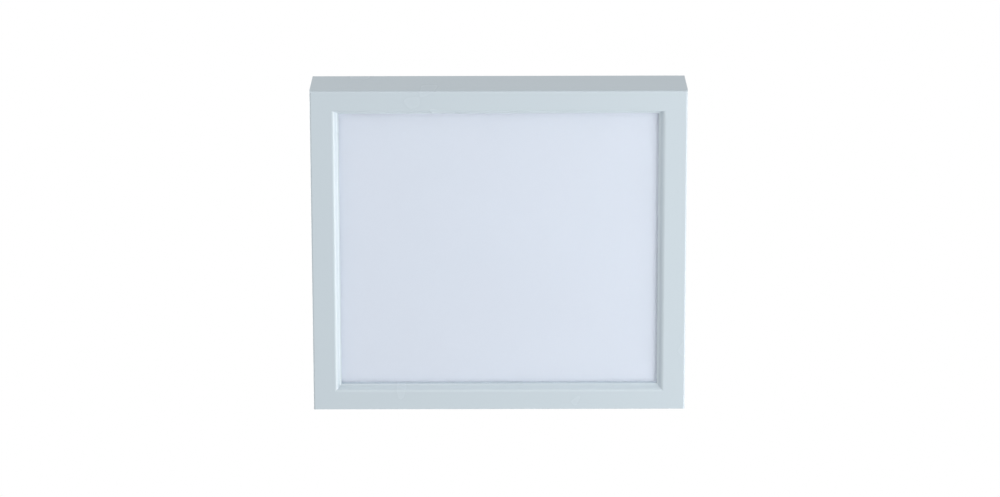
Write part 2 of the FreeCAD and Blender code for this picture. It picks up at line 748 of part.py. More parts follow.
def transformer_core():
    """A low ferrite core: a frame with two windows and a thinner middle leg."""
    body = new_body("transformer_core")
    drawn = sketch(body, "core_outline", offset="Places.core_z")
    rectangle(drawn, "Sizes.core_x - Sizes.core_long / 2", "Sizes.core_x + Sizes.core_long / 2",
              "Sizes.case_y - Sizes.core_wide / 2", "Sizes.case_y + Sizes.core_wide / 2")
    pad(body, "core", drawn, "Sizes.core_high")
    low_y = "Sizes.case_y - Sizes.core_wide / 2 + Sizes.core_rim"
    high_y = "Sizes.case_y + Sizes.core_wide / 2 - Sizes.core_rim"
    reach = "Sizes.core_long / 2 - Sizes.core_rim"
    windows = sketch(body, "window_outline", offset="Places.core_z + Sizes.core_high")
    rectangle(windows, f"Sizes.core_x - ({reach})", "Sizes.core_x - Sizes.leg_long / 2", low_y, high_y)
    rectangle(windows, "Sizes.core_x + Sizes.leg_long / 2", f"Sizes.core_x + {reach}", low_y, high_y)
    pocket(body, "windows", windows, "Sizes.core_high")
    top = "Places.core_z + Sizes.core_high"
    for name, level, flip in (("over", top, False), ("under", "Places.core_z", True)):
        thin = sketch(body, name + "_leg", offset=level)
        rectangle(thin, "Sizes.core_x - Sizes.leg_long / 2", "Sizes.core_x + Sizes.leg_long / 2",
                  low_y, high_y)
        pocket(body, name + "_leg_cut", thin, "(Sizes.core_high - Sizes.leg_high) / 2", reverse=flip)
    return body


def transformer_winding():
    """The coil round the core's middle leg."""
    body = new_body("transformer_winding")
    drawn = sketch(body, "coil_section", "XZ_Plane", "-Sizes.case_y")
    for grow in ("Sizes.winding_play", "Sizes.winding_play + Sizes.winding_thick"):
        across, up = f"(Sizes.leg_long / 2 + {grow})", f"(Sizes.leg_high / 2 + {grow})"
        rectangle(drawn, f"Sizes.core_x - {across}", f"Sizes.core_x + {across}",
                  f"Places.leg_z - {up}", f"Places.leg_z + {up}")
    pad(body, "coil", drawn, "Sizes.core_wide - 2 * Sizes.core_rim - 2 * Sizes.winding_play", middle=True)
    return body


def lying_cylinder(label, x, radius, long):
    """A round component that lies on the circuit board, along Y."""
    body = new_body(label, apart=True)
    drawn = sketch(body, label + "_end", "XZ_Plane", "-Sizes.case_y")
    circle(drawn, x, f"Places.circuit_top + {radius}", radius)
    return body, pad(body, label + "_pad", drawn, long, middle=True)


def driver_capacitors():
    """Round capacitors side by side."""
    body, first = lying_cylinder("driver_capacitors", "Sizes.capacitor_x - Sizes.capacitor_pitch",
                                 "Sizes.capacitor_radius", "Sizes.capacitor_long")
    pattern(body, "LinearPattern", "capacitor_row", [first], "X_Axis",
            Length="Sizes.capacitor_pitch * (Sizes.capacitor_count - 1)",
            Occurrences="Sizes.capacitor_count")
    return body


def driver_choke():
    """A drum choke: a spool turned about its own axis."""
    body = new_body("driver_choke")
    drawn = sketch(body, "drum_section", "XZ_Plane", "-Sizes.case_y")
    flange = "Sizes.choke_high / 5"
    base = "Places.circuit_top"
    rim = "Sizes.choke_x + Sizes.choke_radius"
    waist = f"{rim} - Sizes.choke_groove"
    polygon(drawn, [
        ("Sizes.choke_x", base),
        (rim, base),
        (rim, f"{base} + {flange}"),
        (waist, f"{base} + {flange}"),
        (waist, f"{base} + 4 * {flange}"),
        (rim, f"{base} + 4 * {flange}"),
        (rim, f"{base} + Sizes.choke_high"),
        ("Sizes.choke_x", f"{base} + Sizes.choke_high"),
    ])
    turned = body.newObject("PartDesign::Revolution", "drum")
    turned.Profile = drawn
    turned.ReferenceAxis = (drawn, ["Edge8"])
    turned.Angle = 360
    document.recompute()
    return body


# Mains terminal

POLES = {"live": "+", "neutral": None, "earth": "-"}


def pole_y(pole):
    """The line of a pole of the terminal."""
    sign = POLES[pole]
    return "Sizes.block_y" if sign is None else f"Sizes.block_y {sign} Sizes.pole_pitch"


def terminal_block():
    """The push-in terminal: cable entries on one side, lead sockets on the other, buttons on top."""
    body = new_body("terminal_block")
    drawn = sketch(body, "block_outline", offset="Places.plate_top")
    low_x, high_x = "Sizes.block_x - Sizes.block_long / 2", "Sizes.block_x + Sizes.block_long / 2"
    rectangle(drawn, low_x, high_x,
              "Sizes.block_y - Sizes.block_wide / 2", "Sizes.block_y + Sizes.block_wide / 2")
    block = pad(body, "block", drawn, "Sizes.block_high")
    dress(body, "Fillet", "block_corners", block, upright, "Sizes.case_wall")
    ears = sketch(body, "block_ears", offset="Places.plate_top")
    rectangle(ears, "Sizes.block_x - Sizes.ear_long / 2", "Sizes.block_x + Sizes.ear_long / 2",
              "Sizes.block_y - Sizes.block_wide / 2 - Sizes.ear_long",
              "Sizes.block_y + Sizes.block_wide / 2 + Sizes.ear_long")
    pad(body, "ears", ears, "Sizes.ear_thick")
    holes = sketch(body, "block_ear_holes", offset="Places.plate_top + Sizes.ear_thick")
    for x, y in BLOCK_SCREWS:
        circle(holes, x, y, "Sizes.screw_radius + Sizes.pass_play")
    pocket(body, "ear_hole_cut", holes, "Sizes.ear_thick")
    slots = sketch(body, "button_slots", offset="Places.block_top")
    entries = sketch(body, "cable_entries", "YZ_Plane", low_x)
    sockets = sketch(body, "lead_sockets", "YZ_Plane", high_x)
    for pole in POLES:
        row = pole_y(pole)
        rectangle(slots, "Places.slot_x - Sizes.slot_long / 2", "Places.slot_x + Sizes.slot_long / 2",
                  f"{row} - Sizes.slot_wide / 2", f"{row} + Sizes.slot_wide / 2")
        circle(entries, row, "Places.lead_z", "Sizes.entry_radius")
        circle(sockets, row, "Places.lead_z", "Sizes.mains_lead / 2 + Sizes.lead_play")
    pocket(body, "slot_cut", slots, "Sizes.block_high - Sizes.slot_floor")
    pocket(body, "entry_cut", entries, "Sizes.slot_inset + Sizes.overcut", reverse=True)
    pocket(body, "socket_cut", sockets,
           "Sizes.block_long - Sizes.slot_inset - Sizes.slot_long + Sizes.overcut")
    return body


def terminal_clamps():
    """A bent spring clamp on the floor of each slot."""
    body = new_body("terminal_clamps", apart=True)
    drawn = sketch(body, "clamp_section", "XZ_Plane", f"-({pole_y('earth')})")
    base = "Places.plate_top + Sizes.slot_floor"
    front = "Places.slot_x - Sizes.slot_long / 2 + Sizes.button_play"
    back = "Places.clamp_back"
    metal = "Sizes.clamp_thick"
    tip = f"{front} + Sizes.slot_long / 4"
    polygon(drawn, [
        (front, base),
        (back, base),
        (back, f"{base} + Sizes.clamp_high"),
        (f"{back} - {metal}", f"{base} + Sizes.clamp_high"),
        (tip, f"{base} + 3 * {metal}"),
        (tip, f"{base} + 2 * {metal}"),
        (f"{back} - {metal}", f"{base} + Sizes.clamp_high - {metal}"),
        (f"{back} - {metal}", f"{base} + {metal}"),
        (front, f"{base} + {metal}"),
    ])
    first = pad(body, "clamp", drawn, "Sizes.slot_wide - 2 * Sizes.button_play", middle=True)
    pattern(body, "LinearPattern", "clamp_row", [first], "Y_Axis",
            Length="2 * Sizes.pole_pitch", Occurrences="3")
    return body


def release_button(pole):
    """A button that frees the wire of one pole when it is pushed in."""
    body = new_body("release_button_" + pole)
    top = "Places.block_top + Sizes.button_proud"
    drawn = sketch(body, "button_outline", offset=f"{top} - Sizes.button_high")
    row = pole_y(pole)
    across = "(Sizes.slot_long / 2 - Sizes.button_play)"
    aside = "(Sizes.slot_wide / 2 - Sizes.button_play)"
    rectangle(drawn, f"Places.slot_x - {across}", f"Places.slot_x + {across}",
              f"{row} - {aside}", f"{row} + {aside}")
    key = pad(body, "button", drawn, "Sizes.button_high")
    level = number(top)
    dress(body, "Fillet", "button_crown", key,
          lambda edge: abs(edge.CenterOfMass.z - level) < NEAR, "Sizes.clamp_thick")
    return body


# Leads, each a tube along straight runs that tangent arcs join

def lead_route(points):
    """The wire through the points, each turn an arc as large as its two runs allow, and the radii."""
    pieces, radii, start = [], [], points[0]
    for before, here, after in zip(points, points[1:], points[2:]):
        inward, outward = (here - before).normalize(), (after - here).normalize()
        half_turn = inward.getAngle(outward) / 2
        reach = TURN_SHARE * min((here - before).Length, (after - here).Length)
        radius = reach / math.tan(half_turn)
        enter, leave = here - inward * reach, here + outward * reach
        towards = (outward - inward).normalize()
        middle = here + towards * (radius / math.cos(half_turn) - radius)
        pieces.append(Part.LineSegment(start, enter).toShape())
        pieces.append(Part.Arc(enter, middle, leave).toShape())
        radii.append(radius)
        start = leave
    pieces.append(Part.LineSegment(start, points[-1]).toShape())
    return Part.Wire(pieces), radii


def lead(label, thick, points):
    """A lead of the given thickness through the points."""
    route, radii = lead_route(points)
    spine = document.addObject("Part::Feature", label + "_route")
    spine.Shape = route
    section = document.addObject("Part::Circle", label + "_section")
    section.setExpression("Radius", f"{thick} / 2")
    turn = FreeCAD.Rotation(Vector(0, 0, 1), points[1] - points[0])
    section.Placement = FreeCAD.Placement(points[0], turn)
    tube = document.addObject("Part::Sweep", label)
    tube.Label = label
    tube.Sections = [section]
    tube.Spine = (spine, [f"Edge{index}" for index in range(1, len(route.Edges) + 1)])
    tube.Solid = True
    tube.Frenet = False
    document.recompute()
    expected = math.pi * number(thick) ** 2 / 4 * route.Length
    print(f"{label}: length {route.Length:.1f}, radii {', '.join(f'{radius:.1f}' for radius in radii)}, "
          f"volume {tube.Shape.Volume / expected:.4f} of section by length")
    return tube


def mains_leads():
    """Live and neutral from the terminal round to the driver, earth to the ring on the plate."""
    level, block_end = places.lead_z, places.clamp_back + sizes.button_play
    out, case_end = sizes.block_x + sizes.block_long / 2, sizes.case_long / 2
    bow, dip = sizes.mains_bow, sizes.mains_dip
    made = []
    for pole, hole, shift in (("live", "-", 0.0), ("neutral", "+", sizes.mains_apart)):
        start = Vector(block_end, number(pole_y(pole)), level)
        end_y = number(f"Places.driver_mains_y {hole} Sizes.pole_pitch / 2")
        made.append(lead(pole + "_lead", "Sizes.mains_lead", [
            start,
            Vector(out + 0.25 * bow + shift, start.y, level),
            Vector(out + 0.75 * bow + shift, start.y + 0.28 * bow, level - 0.6 * dip),
            Vector(out + bow + shift, start.y + 0.94 * bow, level - dip),
            Vector(case_end + 0.94 * bow + shift, end_y - 0.81 * bow, level - dip),
            Vector(case_end + 0.69 * bow + shift, end_y - 0.16 * bow, level - 0.4 * dip),
            Vector(case_end + 0.25 * bow + 0.5 * shift, end_y, level),
            Vector(places.connector_face, end_y, level),
        ]))
    start = Vector(block_end, number(pole_y("earth")), level)
    barrel = places.barrel_z
    barrel_start = sizes.earth_x - sizes.washer_radius - sizes.barrel_long
    made.append(lead("earth_lead", "Sizes.mains_lead", [
        start,
        Vector(out + 0.22 * bow, start.y, level),
        Vector(barrel_start - 2 * sizes.barrel_long, (start.y + sizes.earth_y) / 2, (level + barrel) / 2),
        Vector(barrel_start - 0.64 * sizes.barrel_long, sizes.earth_y, barrel),
        Vector(barrel_start + 0.71 * sizes.barrel_long, sizes.earth_y, barrel),
    ]))
    return made


def earth_ring_terminal():
    """The crimped ring at the end of the earth lead, flat on the back plate."""
    body = new_body("earth_ring_terminal")
    tongue = sketch(body, "tongue", offset="Places.plate_top")
    circle(tongue, "Sizes.earth_x", "Sizes.earth_y", "Sizes.washer_radius")
    pad(body, "ring", tongue, "Sizes.ring_thick")
    neck = sketch(body, "neck", offset="Places.plate_top")
    rectangle(neck, "Sizes.earth_x - Sizes.washer_radius - Sizes.neck_half",
              "Sizes.earth_x - Sizes.washer_radius + Sizes.neck_half",
              "Sizes.earth_y - Sizes.barrel_radius", "Sizes.earth_y + Sizes.barrel_radius")
    pad(body, "neck_pad", neck, "Sizes.ring_thick")
    barrel_end = "Sizes.earth_x - Sizes.washer_radius"
    outer = sketch(body, "barrel_outline", "YZ_Plane", barrel_end)
    circle(outer, "Sizes.earth_y", "Places.barrel_z", "Sizes.barrel_radius")
    pad(body, "barrel", outer, "Sizes.barrel_long", reverse=True)
    bore = sketch(body, "barrel_bore", "YZ_Plane", barrel_end + " - Sizes.barrel_long")
    circle(bore, "Sizes.earth_y", "Places.barrel_z", "Sizes.mains_lead / 2 + Sizes.lead_play")
    pocket(body, "bore_cut", bore, "Sizes.barrel_long - Sizes.barrel_end", reverse=True)
    hole = sketch(body, "ring_hole", offset="Places.plate_top + Sizes.ring_thick")
    circle(hole, "Sizes.earth_x", "Sizes.earth_y", "Sizes.earth_radius + Sizes.thread_play")
    pocket(body, "ring_hole_cut", hole, "Sizes.ring_thick")
    return body


def earth_washer():
    """The washer between the ring and the earth screw's head."""
    body = new_body("earth_washer")
    drawn = sketch(body, "washer_outline", offset="Places.plate_top + Sizes.ring_thick")
    circle(drawn, "Sizes.earth_x", "Sizes.earth_y", "Sizes.washer_radius")
    circle(drawn, "Sizes.earth_x", "Sizes.earth_y", "Sizes.earth_radius + Sizes.thread_play")
    pad(body, "washer", drawn, "Sizes.washer_thick")
    return body


def lamp_leads():
    """A pair of thin leads from each end of the driver, through a grommet, to the back of the board."""
    made = []
    level, low = places.lead_z, places.plate_top + sizes.lamp_lead / 2 + sizes.lamp_lead_rest
    arch = places.plate_top + sizes.grommet_lip + sizes.lamp_lead_arch
    case_end = sizes.case_long / 2
    across = places.boss_line - case_end
    for side, hand in (("right", 1), ("left", -1)):
        for pole, place in (("positive", -1), ("negative", 1)):
            row = places.driver_lamp_y + place * sizes.lamp_lead_spread / 2
            through = places.notch_y + place * sizes.grommet_bore / 2
            along = through - row
            near = case_end - place * sizes.lamp_lead
            points = [
                (places.connector_face, row, level),
                (case_end + 0.17 * across, row, level),
                (near + 0.40 * across, row + 0.17 * along, low),
                (near + 0.59 * across, row + 0.51 * along, low),
                (near + 0.76 * across, row + 0.89 * along, (2 * low + arch) / 3),
                (case_end + 0.88 * across, through, arch),
                (places.boss_line, through, arch),
                (places.boss_line, through, places.led_z),
                (places.board_back, through, places.led_z),
            ]
            made.append(lead(f"lamp_lead_{side}_{pole}", "Sizes.lamp_lead",
                             [Vector(hand * x, y, z) for x, y, z in points]))
    return made


# Ceiling strap and clip springs

def ceiling_strap():
    """The pressed strap on the ceiling: flanged channel, end tabs, cable hole and screw holes."""
    body = new_body("ceiling_strap")
    side_view = sketch(body, "strap_side", "XZ_Plane")
    reach, metal, deep = "Places.strap_half", "Sizes.strap_thick", "Sizes.tab_deep"
    polygon(side_view, [
        (f"-{reach}", "0"),
        (f"-{reach}", f"-{deep}"),
        (f"{metal} - {reach}", f"-{deep}"),
        (f"{metal} - {reach}", f"-{metal}"),
        (f"{reach} - {metal}", f"-{metal}"),
        (f"{reach} - {metal}", f"-{deep}"),
        (reach, f"-{deep}"),
        (reach, "0"),
    ])
    strap = pad(body, "strap", side_view, "Sizes.strap_wide", middle=True)
    half, thick = places.strap_half, sizes.strap_thick

    def bend(outer):
        """Picks the edges along Y on the outside or the inside of the end bends."""
        inset = 0.0 if outer else thick

        def wanted(edge):
            middle = edge.CenterOfMass
            return abs(abs(middle.x) - half + inset) < NEAR and abs(middle.z + inset) < NEAR and (
                abs(middle.y) < NEAR
            )
        return wanted

    inner = dress(body, "Fillet", "inner_end_bends", strap, bend(False), "Sizes.strap_bend")
    outer = dress(body, "Fillet", "outer_end_bends", inner, bend(True),
                  "Sizes.strap_bend + Sizes.strap_thick")
    body.Tip = outer
    cross = sketch(body, "flange_section", "YZ_Plane")
    edge_y = "Sizes.strap_wide / 2"
    polygon(cross, [
        (f"{edge_y} - Sizes.strap_thick", "-Sizes.flange_deep"),
        (edge_y, "-Sizes.flange_deep"),
        (edge_y, "-Sizes.strap_thick / 2"),
        (f"{edge_y} - Sizes.strap_thick", "-Sizes.strap_thick / 2"),
    ])
    flange = pad(body, "flange", cross, "2 * Places.flange_half", middle=True)
    end = places.flange_half
    low = -sizes.flange_deep
    sloped = dress(body, "Chamfer", "flange_ends", flange,
                   lambda edge: abs(abs(edge.CenterOfMass.x) - end) < NEAR
                   and abs(edge.CenterOfMass.z - low) < NEAR, "Sizes.flange_slope")
    pattern(body, "Mirrored", "both_flanges", [flange, sloped], "XZ_Plane")
    holes = sketch(body, "strap_holes")
    circle(holes, "0", "0", "Sizes.cable_hole")
    for sign in ("-", ""):
        inner_end = f"{sign}(Sizes.box_slot_place - Sizes.box_slot_long / 2)"
        outer_end = f"{sign}(Sizes.box_slot_place + Sizes.box_slot_long / 2)"
        low_end, high_end = (outer_end, inner_end) if sign else (inner_end, outer_end)
        slot(holes, low_end, high_end, "0", "Sizes.box_slot_radius")
        for row in ("-", ""):
            circle(holes, f"{sign}Places.end_hole_place", f"{row}Sizes.end_hole_spread",
                   "Sizes.end_hole_radius")
    pocket(body, "hole_cut", holes, "Sizes.strap_thick")
    rivets = sketch(body, "rivet_holes", "YZ_Plane", "-Places.strap_half")
    for row in ("-", ""):
        circle(rivets, f"{row}Sizes.rivet_spread", "-Sizes.rivet_drop",
               "Sizes.rivet_radius + Sizes.thread_play")
    rivet_cut = pocket(body, "rivet_hole_cut", rivets, "Sizes.strap_thick", reverse=True)
    pattern(body, "Mirrored", "all_rivet_holes", [rivet_cut], "YZ_Plane")
    return body


def clip_spring(side):
    """A leaf spring on a tab: a base plate, a foot and a leg bowed out to catch the ridge."""
    hand = 1 if side == "right" else -1
    body = new_body("clip_spring_" + side)
    leg = sketch(body, "leg_section", "XZ_Plane")
    base, metal = "Places.strap_half", "Sizes.clip_thick"
    lean = "Sizes.clip_thick * sqrt(1 + 1 / Sizes.clip_slope ^ 2)"
    foot = f"{base} + Sizes.clip_foot_reach"
    end_x, end_z = "Places.apex_x - Sizes.clip_end", "Places.apex_z + Sizes.clip_end * Sizes.clip_slope"
    corners = [
        (base, "-Sizes.clip_top"),
        (base, "-Sizes.clip_foot"),
        (foot, "-Sizes.clip_foot"),
        ("Places.apex_x", "Places.apex_z"),
        (end_x, end_z),
        (f"{end_x} - {lean}", end_z),
        (f"Places.apex_x - {lean}", "Places.apex_z"),
        (f"{foot} - {lean}", f"{metal} - Sizes.clip_foot"),
        (f"{base} + {metal}", f"{metal} - Sizes.clip_foot"),
        (f"{base} + {metal}", "-Sizes.clip_top"),
    ]
    polygon(leg, [(x if hand > 0 else f"-({x})", z) for x, z in corners])
    sprung = pad(body, "leg", leg, "Sizes.clip_wide", middle=True)
    apex = places.apex_x
    crest = places.apex_z
    dress(body, "Fillet", "apex_bend", sprung,
          lambda edge: abs(edge.CenterOfMass.y) < NEAR and abs(abs(edge.CenterOfMass.x) - apex) < NEAR
          and abs(edge.CenterOfMass.z - crest) < NEAR, "Sizes.clip_thick")
    plate = sketch(body, "base_plate", "YZ_Plane", base if hand > 0 else f"-({base})")
    rectangle(plate, "-Sizes.clip_base_wide / 2", "Sizes.clip_base_wide / 2",
              "-Sizes.tab_deep", "-Sizes.clip_top")
    pad(body, "plate", plate, metal, reverse=hand < 0)
    holes = sketch(body, "rivet_holes", "YZ_Plane", base if hand > 0 else f"-({base})")
    for row in ("-", ""):
        circle(holes, f"{row}Sizes.rivet_spread", "-Sizes.rivet_drop",
               "Sizes.rivet_radius + Sizes.thread_play")
    pocket(body, "rivet_hole_cut", holes, metal, reverse=hand > 0)
    return body


def clip_rivets():
    """Rivets through spring and tab, two at each end of the strap."""
    body = new_body("clip_rivets", apart=True)
    inside = "Places.strap_half - Sizes.strap_thick"
    outside = "Places.strap_half + Sizes.clip_thick"
    made = []
    for name, plane, radius, length, flip in (
        ("inner_head", inside, "Sizes.rivet_head_radius", "Sizes.rivet_head_high", True),
        ("outer_head", outside, "Sizes.rivet_head_radius", "Sizes.rivet_head_high", False),
        ("shank", inside, "Sizes.rivet_radius", "Sizes.strap_thick + Sizes.clip_thick", False),
    ):
        drawn = sketch(body, name + "_outline", "YZ_Plane", plane)
        for row in ("-", ""):
            circle(drawn, f"{row}Sizes.rivet_spread", "-Sizes.rivet_drop", radius)
        made.append(pad(body, name, drawn, length, reverse=flip))
    pattern(body, "Mirrored", "both_ends", made, "YZ_Plane")
    return body


# The parts

parts = [
    housing(),
    sheet_of("diffuser", "Places.sheet_half", "Places.sheet_half", "Places.seat_z", "Sizes.diffuser_thick"),
    sheet_of("light_guide", "Places.guide_half_x", "Places.sheet_half", "Places.guide_z",
             "Sizes.guide_thick"),
    sheet_of("reflector_sheet", "Places.guide_half_x", "Places.sheet_half", "Places.reflector_z",
             "Sizes.reflector_thick"),
    sheet_of("foam_pad", "Places.foam_half", "Places.foam_half", "Places.foam_z", "Sizes.foam_thick",
             CASE_SCREWS + BLOCK_SCREWS + EARTH),
    back_plate(),
    grommets(),
    screws("back_plate_screws", PLATE_SCREWS, "Places.plate_top", "Sizes.screw_radius", "Sizes.screw_long",
           "Sizes.screw_head_radius", "Sizes.screw_head_high"),
    driver_case_base(),
    driver_case_lid(),
    driver_board(),
    transformer_core(),
    transformer_winding(),
    driver_capacitors(),
    driver_choke(),
    lying_cylinder("driver_fuse", "Places.fuse_x", "Sizes.fuse_radius", "Sizes.fuse_long")[0],
    block_part("driver_rectifier",
               [("Places.rectifier_x", "Places.driver_lamp_y",
                 "Sizes.rectifier_long", "Sizes.rectifier_wide")],
               "Places.circuit_top", "Sizes.rectifier_high"),
    block_part("driver_connectors", [
        (x, y, "Sizes.connector_long", wide)
        for x, y, wide in (
            ("Places.connector_x", "Places.driver_mains_y", "Sizes.mains_connector_wide"),
            ("Places.connector_x", "Places.driver_lamp_y", "Sizes.lamp_connector_wide"),
            ("-Places.connector_x", "Places.driver_lamp_y", "Sizes.lamp_connector_wide"),
        )
    ], "Places.circuit_top", "Sizes.connector_high"),
    screws("driver_case_screws", CASE_SCREWS, "Places.plate_top + Sizes.ear_thick", "Sizes.screw_radius",
           "Sizes.short_screw_long", "Sizes.screw_head_radius", "Sizes.screw_head_high"),
    terminal_block(),
    terminal_clamps(),
    screws("terminal_screws", BLOCK_SCREWS, "Places.plate_top + Sizes.ear_thick", "Sizes.screw_radius",
           "Sizes.short_screw_long", "Sizes.screw_head_radius", "Sizes.screw_head_high"),
    earth_ring_terminal(),
    earth_washer(),
    screws("earth_screw", EARTH, "Places.plate_top + Sizes.ring_thick + Sizes.washer_thick",
           "Sizes.earth_radius", "Sizes.earth_length", "Sizes.earth_head_radius", "Sizes.earth_head_high"),
    ceiling_strap(),
    clip_rivets(),
]
parts += [release_button(pole) for pole in POLES]
parts += [clip_spring(side) for side in ("left", "right")]
for side, sign in (("left", -1), ("right", 1)):
    parts.append(upright_bar("led_board_" + side, "Places.board_face", "Places.board_back",
                             "Places.board_half", "Places.guide_z + Sizes.board_play",
                             "Places.plate_z - Sizes.board_play", sign))
    parts.append(upright_bar("thermal_tape_" + side, "Places.board_back", "Places.pocket_half",
                             "Places.tape_half", "Places.guide_z + 2 * Sizes.board_play",
                             "Places.plate_z - 2 * Sizes.board_play", sign))
    parts.append(led_row("leds_" + side, sign))
parts += mains_leads()
parts += lamp_leads()

document.recompute()
failed = [item.Name for item in document.Objects if {"Invalid", "Error"} & set(item.State)]
bad = [part.Label for part in parts if part.Shape.isNull() or not part.Shape.isValid()]
if failed or bad:
    raise SystemExit(f"failed objects {failed}, bad shapes {bad}")

os.makedirs("parts", exist_ok=True)
for part in parts:
    part.Shape.exportStep(f"parts/{part.Label}.step")
print(f"{len(parts)} parts written")
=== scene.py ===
import json
import math

import bmesh
import bpy
from mathutils import Matrix, Vector


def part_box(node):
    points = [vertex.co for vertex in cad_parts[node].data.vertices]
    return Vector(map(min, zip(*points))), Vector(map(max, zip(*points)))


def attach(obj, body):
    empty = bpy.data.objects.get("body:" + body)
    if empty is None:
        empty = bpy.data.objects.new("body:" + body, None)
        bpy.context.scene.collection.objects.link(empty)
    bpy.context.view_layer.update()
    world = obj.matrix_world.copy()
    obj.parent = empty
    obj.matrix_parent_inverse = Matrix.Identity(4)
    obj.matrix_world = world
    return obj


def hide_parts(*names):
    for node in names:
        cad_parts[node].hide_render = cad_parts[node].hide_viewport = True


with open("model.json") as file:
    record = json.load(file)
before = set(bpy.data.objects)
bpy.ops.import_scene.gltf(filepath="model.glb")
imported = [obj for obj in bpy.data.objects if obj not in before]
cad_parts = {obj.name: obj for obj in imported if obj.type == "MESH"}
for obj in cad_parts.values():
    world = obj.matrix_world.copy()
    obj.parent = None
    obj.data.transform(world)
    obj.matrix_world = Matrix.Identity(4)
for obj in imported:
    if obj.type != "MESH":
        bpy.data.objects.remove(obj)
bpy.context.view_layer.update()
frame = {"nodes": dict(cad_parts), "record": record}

# Square flush mount ceiling light, seen from below. Lengths here are in millimetres, the scene is in metres.

MM = 0.001


# Photograph's camera

PHOTO_WIDE = 1000  # pixels
FOCAL_PIXELS = 9312.0  # a long lens: the sides of the square hardly run together
CAMERA_PLACE = Vector((0.85, -3933.9, -6367.1))
CAMERA_TILT = 58.2  # degrees below the horizon, from where the lens looks up at the lamp
CAMERA_ROLL = -0.12  # degrees


def photograph_camera():
    """The camera below the lamp and in front of its low-y side, where the photograph was taken."""
    camera = bpy.data.objects.new("camera", bpy.data.cameras.new("camera"))
    bpy.context.scene.collection.objects.link(camera)
    camera.data.sensor_width = 36.0
    camera.data.lens = FOCAL_PIXELS * camera.data.sensor_width / PHOTO_WIDE
    tilt = math.radians(CAMERA_TILT)
    look = Vector((0.0, math.cos(tilt), math.sin(tilt)))
    right = Vector((1.0, 0.0, 0.0))
    turn = Matrix((right, (-look).cross(right), -look)).transposed()
    roll = Matrix.Rotation(math.radians(CAMERA_ROLL), 3, "Z")
    camera.matrix_world = Matrix.Translation(CAMERA_PLACE * MM) @ (turn @ roll).to_4x4()
    bpy.context.scene.camera = camera
    bpy.context.scene.view_settings.view_transform = "Standard"


# Nodes and colours

def linear(colour):
    """An sRGB hex colour as linear red, green, blue and alpha, by the curve of the sRGB standard."""
    channels = [int(colour[i:i + 2], 16) / 255 for i in (1, 3, 5)]
    return [c / 12.92 if c <= 0.04045 else ((c + 0.055) / 1.055) ** 2.4 for c in channels] + [1.0]


def add(tree, kind, inputs=None, **settings):
    """A node with its settings. An input given a socket is linked, and any other value is set on it."""
    node = tree.nodes.new(kind)
    for name, value in settings.items():
        setattr(node, name, value)
    for name, value in (inputs or {}).items():
        if isinstance(value, bpy.types.NodeSocket):
            tree.links.new(value, node.inputs[name])
        else:
            node.inputs[name].default_value = value
    return node


WHITE = (1.0, 1.0, 1.0, 1.0)
MIX_A, MIX_B, MIX_RESULT = 6, 7, 2  # colour sockets of the Mix node
RELIEF = "relief"  # the node that makes a finish's bumps


def finish(name, tone, shade, mottle, relief, depth, roughness, spread=0.06, fixed=None):
    """A material whose colour wanders from tone to shade over mottle mm, with bumps relief mm wide.

    The bumps are depth mm high, and the roughness wanders by spread about its middle value.
    """
    material = bpy.data.materials.new(name)
    material.use_nodes = True
    tree = material.node_tree
    shader = tree.nodes["Principled BSDF"]
    for key, value in (fixed or {}).items():
        shader.inputs[key].default_value = value
    place = add(tree, "ShaderNodeTexCoord").outputs["Object"]
    patches = add(tree, "ShaderNodeTexNoise", {"Vector": place, "Scale": 1 / (mottle * MM), "Detail": 2.0})
    mixed = add(tree, "ShaderNodeMix", {0: patches.outputs["Fac"], MIX_A: linear(tone), MIX_B: linear(shade)},
                data_type="RGBA")
    tree.links.new(mixed.outputs[MIX_RESULT], shader.inputs["Base Color"])
    worn = add(tree, "ShaderNodeMapRange", {"Value": patches.outputs["Fac"], "From Min": 0.3, "From Max": 0.7,
                                            "To Min": roughness - spread, "To Max": roughness + spread})
    tree.links.new(worn.outputs["Result"], shader.inputs["Roughness"])
    bumps = add(tree, "ShaderNodeTexNoise", {"Vector": place, "Scale": 1 / (relief * MM), "Detail": 1.0},
                name=RELIEF)
    bump = add(tree, "ShaderNodeBump", {"Height": bumps.outputs["Fac"], "Distance": depth * MM})
    tree.links.new(bump.outputs["Normal"], shader.inputs["Normal"])
    return material


def powder_coat():
    """Satin powder coat: an even pale grey with the faint orange peel of baked powder."""
    return finish("satin_powder_coat", "#CBD7DE", "#C9D5DD", mottle=45.0, relief=1.2, depth=0.002,
                  roughness=0.25, spread=0.03)


def opal_acrylic():
    """Extruded opal acrylic: milky, light sinks a little way in, and the face has a satin bloom."""
    material = finish("opal_acrylic", "#DAE2EF", "#D8E1EE", mottle=60.0, relief=0.8, depth=0.002,
                      roughness=0.38, fixed={"Subsurface Weight": 0.6, "Subsurface Scale": 10 * MM,
                                             "Subsurface Radius": (1.0, 1.0, 1.0)})
    material.node_tree.nodes["Principled BSDF"].subsurface_method = "BURLEY"
    return material


def clear_acrylic():
    """Cast clear acrylic: glassy and bright at its edges."""
    return finish("clear_acrylic", "#F4F7F8", "#EEF3F5", mottle=20.0, relief=1.5, depth=0.002,
                  roughness=0.08, spread=0.03, fixed={"Transmission Weight": 0.9, "IOR": 1.49})


def reflector_film():
    """White polyester film: bright and quite matt."""
    return finish("white_polyester_film", "#F4F4F2", "#EFEFEE", mottle=30.0, relief=0.8, depth=0.002,
                  roughness=0.5)


def polyethylene_foam():
    """Closed-cell polyethylene foam: dark grey, with the skin's small cells."""
    return finish("polyethylene_foam", "#4A4A4C", "#3B3B3E", mottle=8.0, relief=1.0, depth=0.12,
                  roughness=0.9)


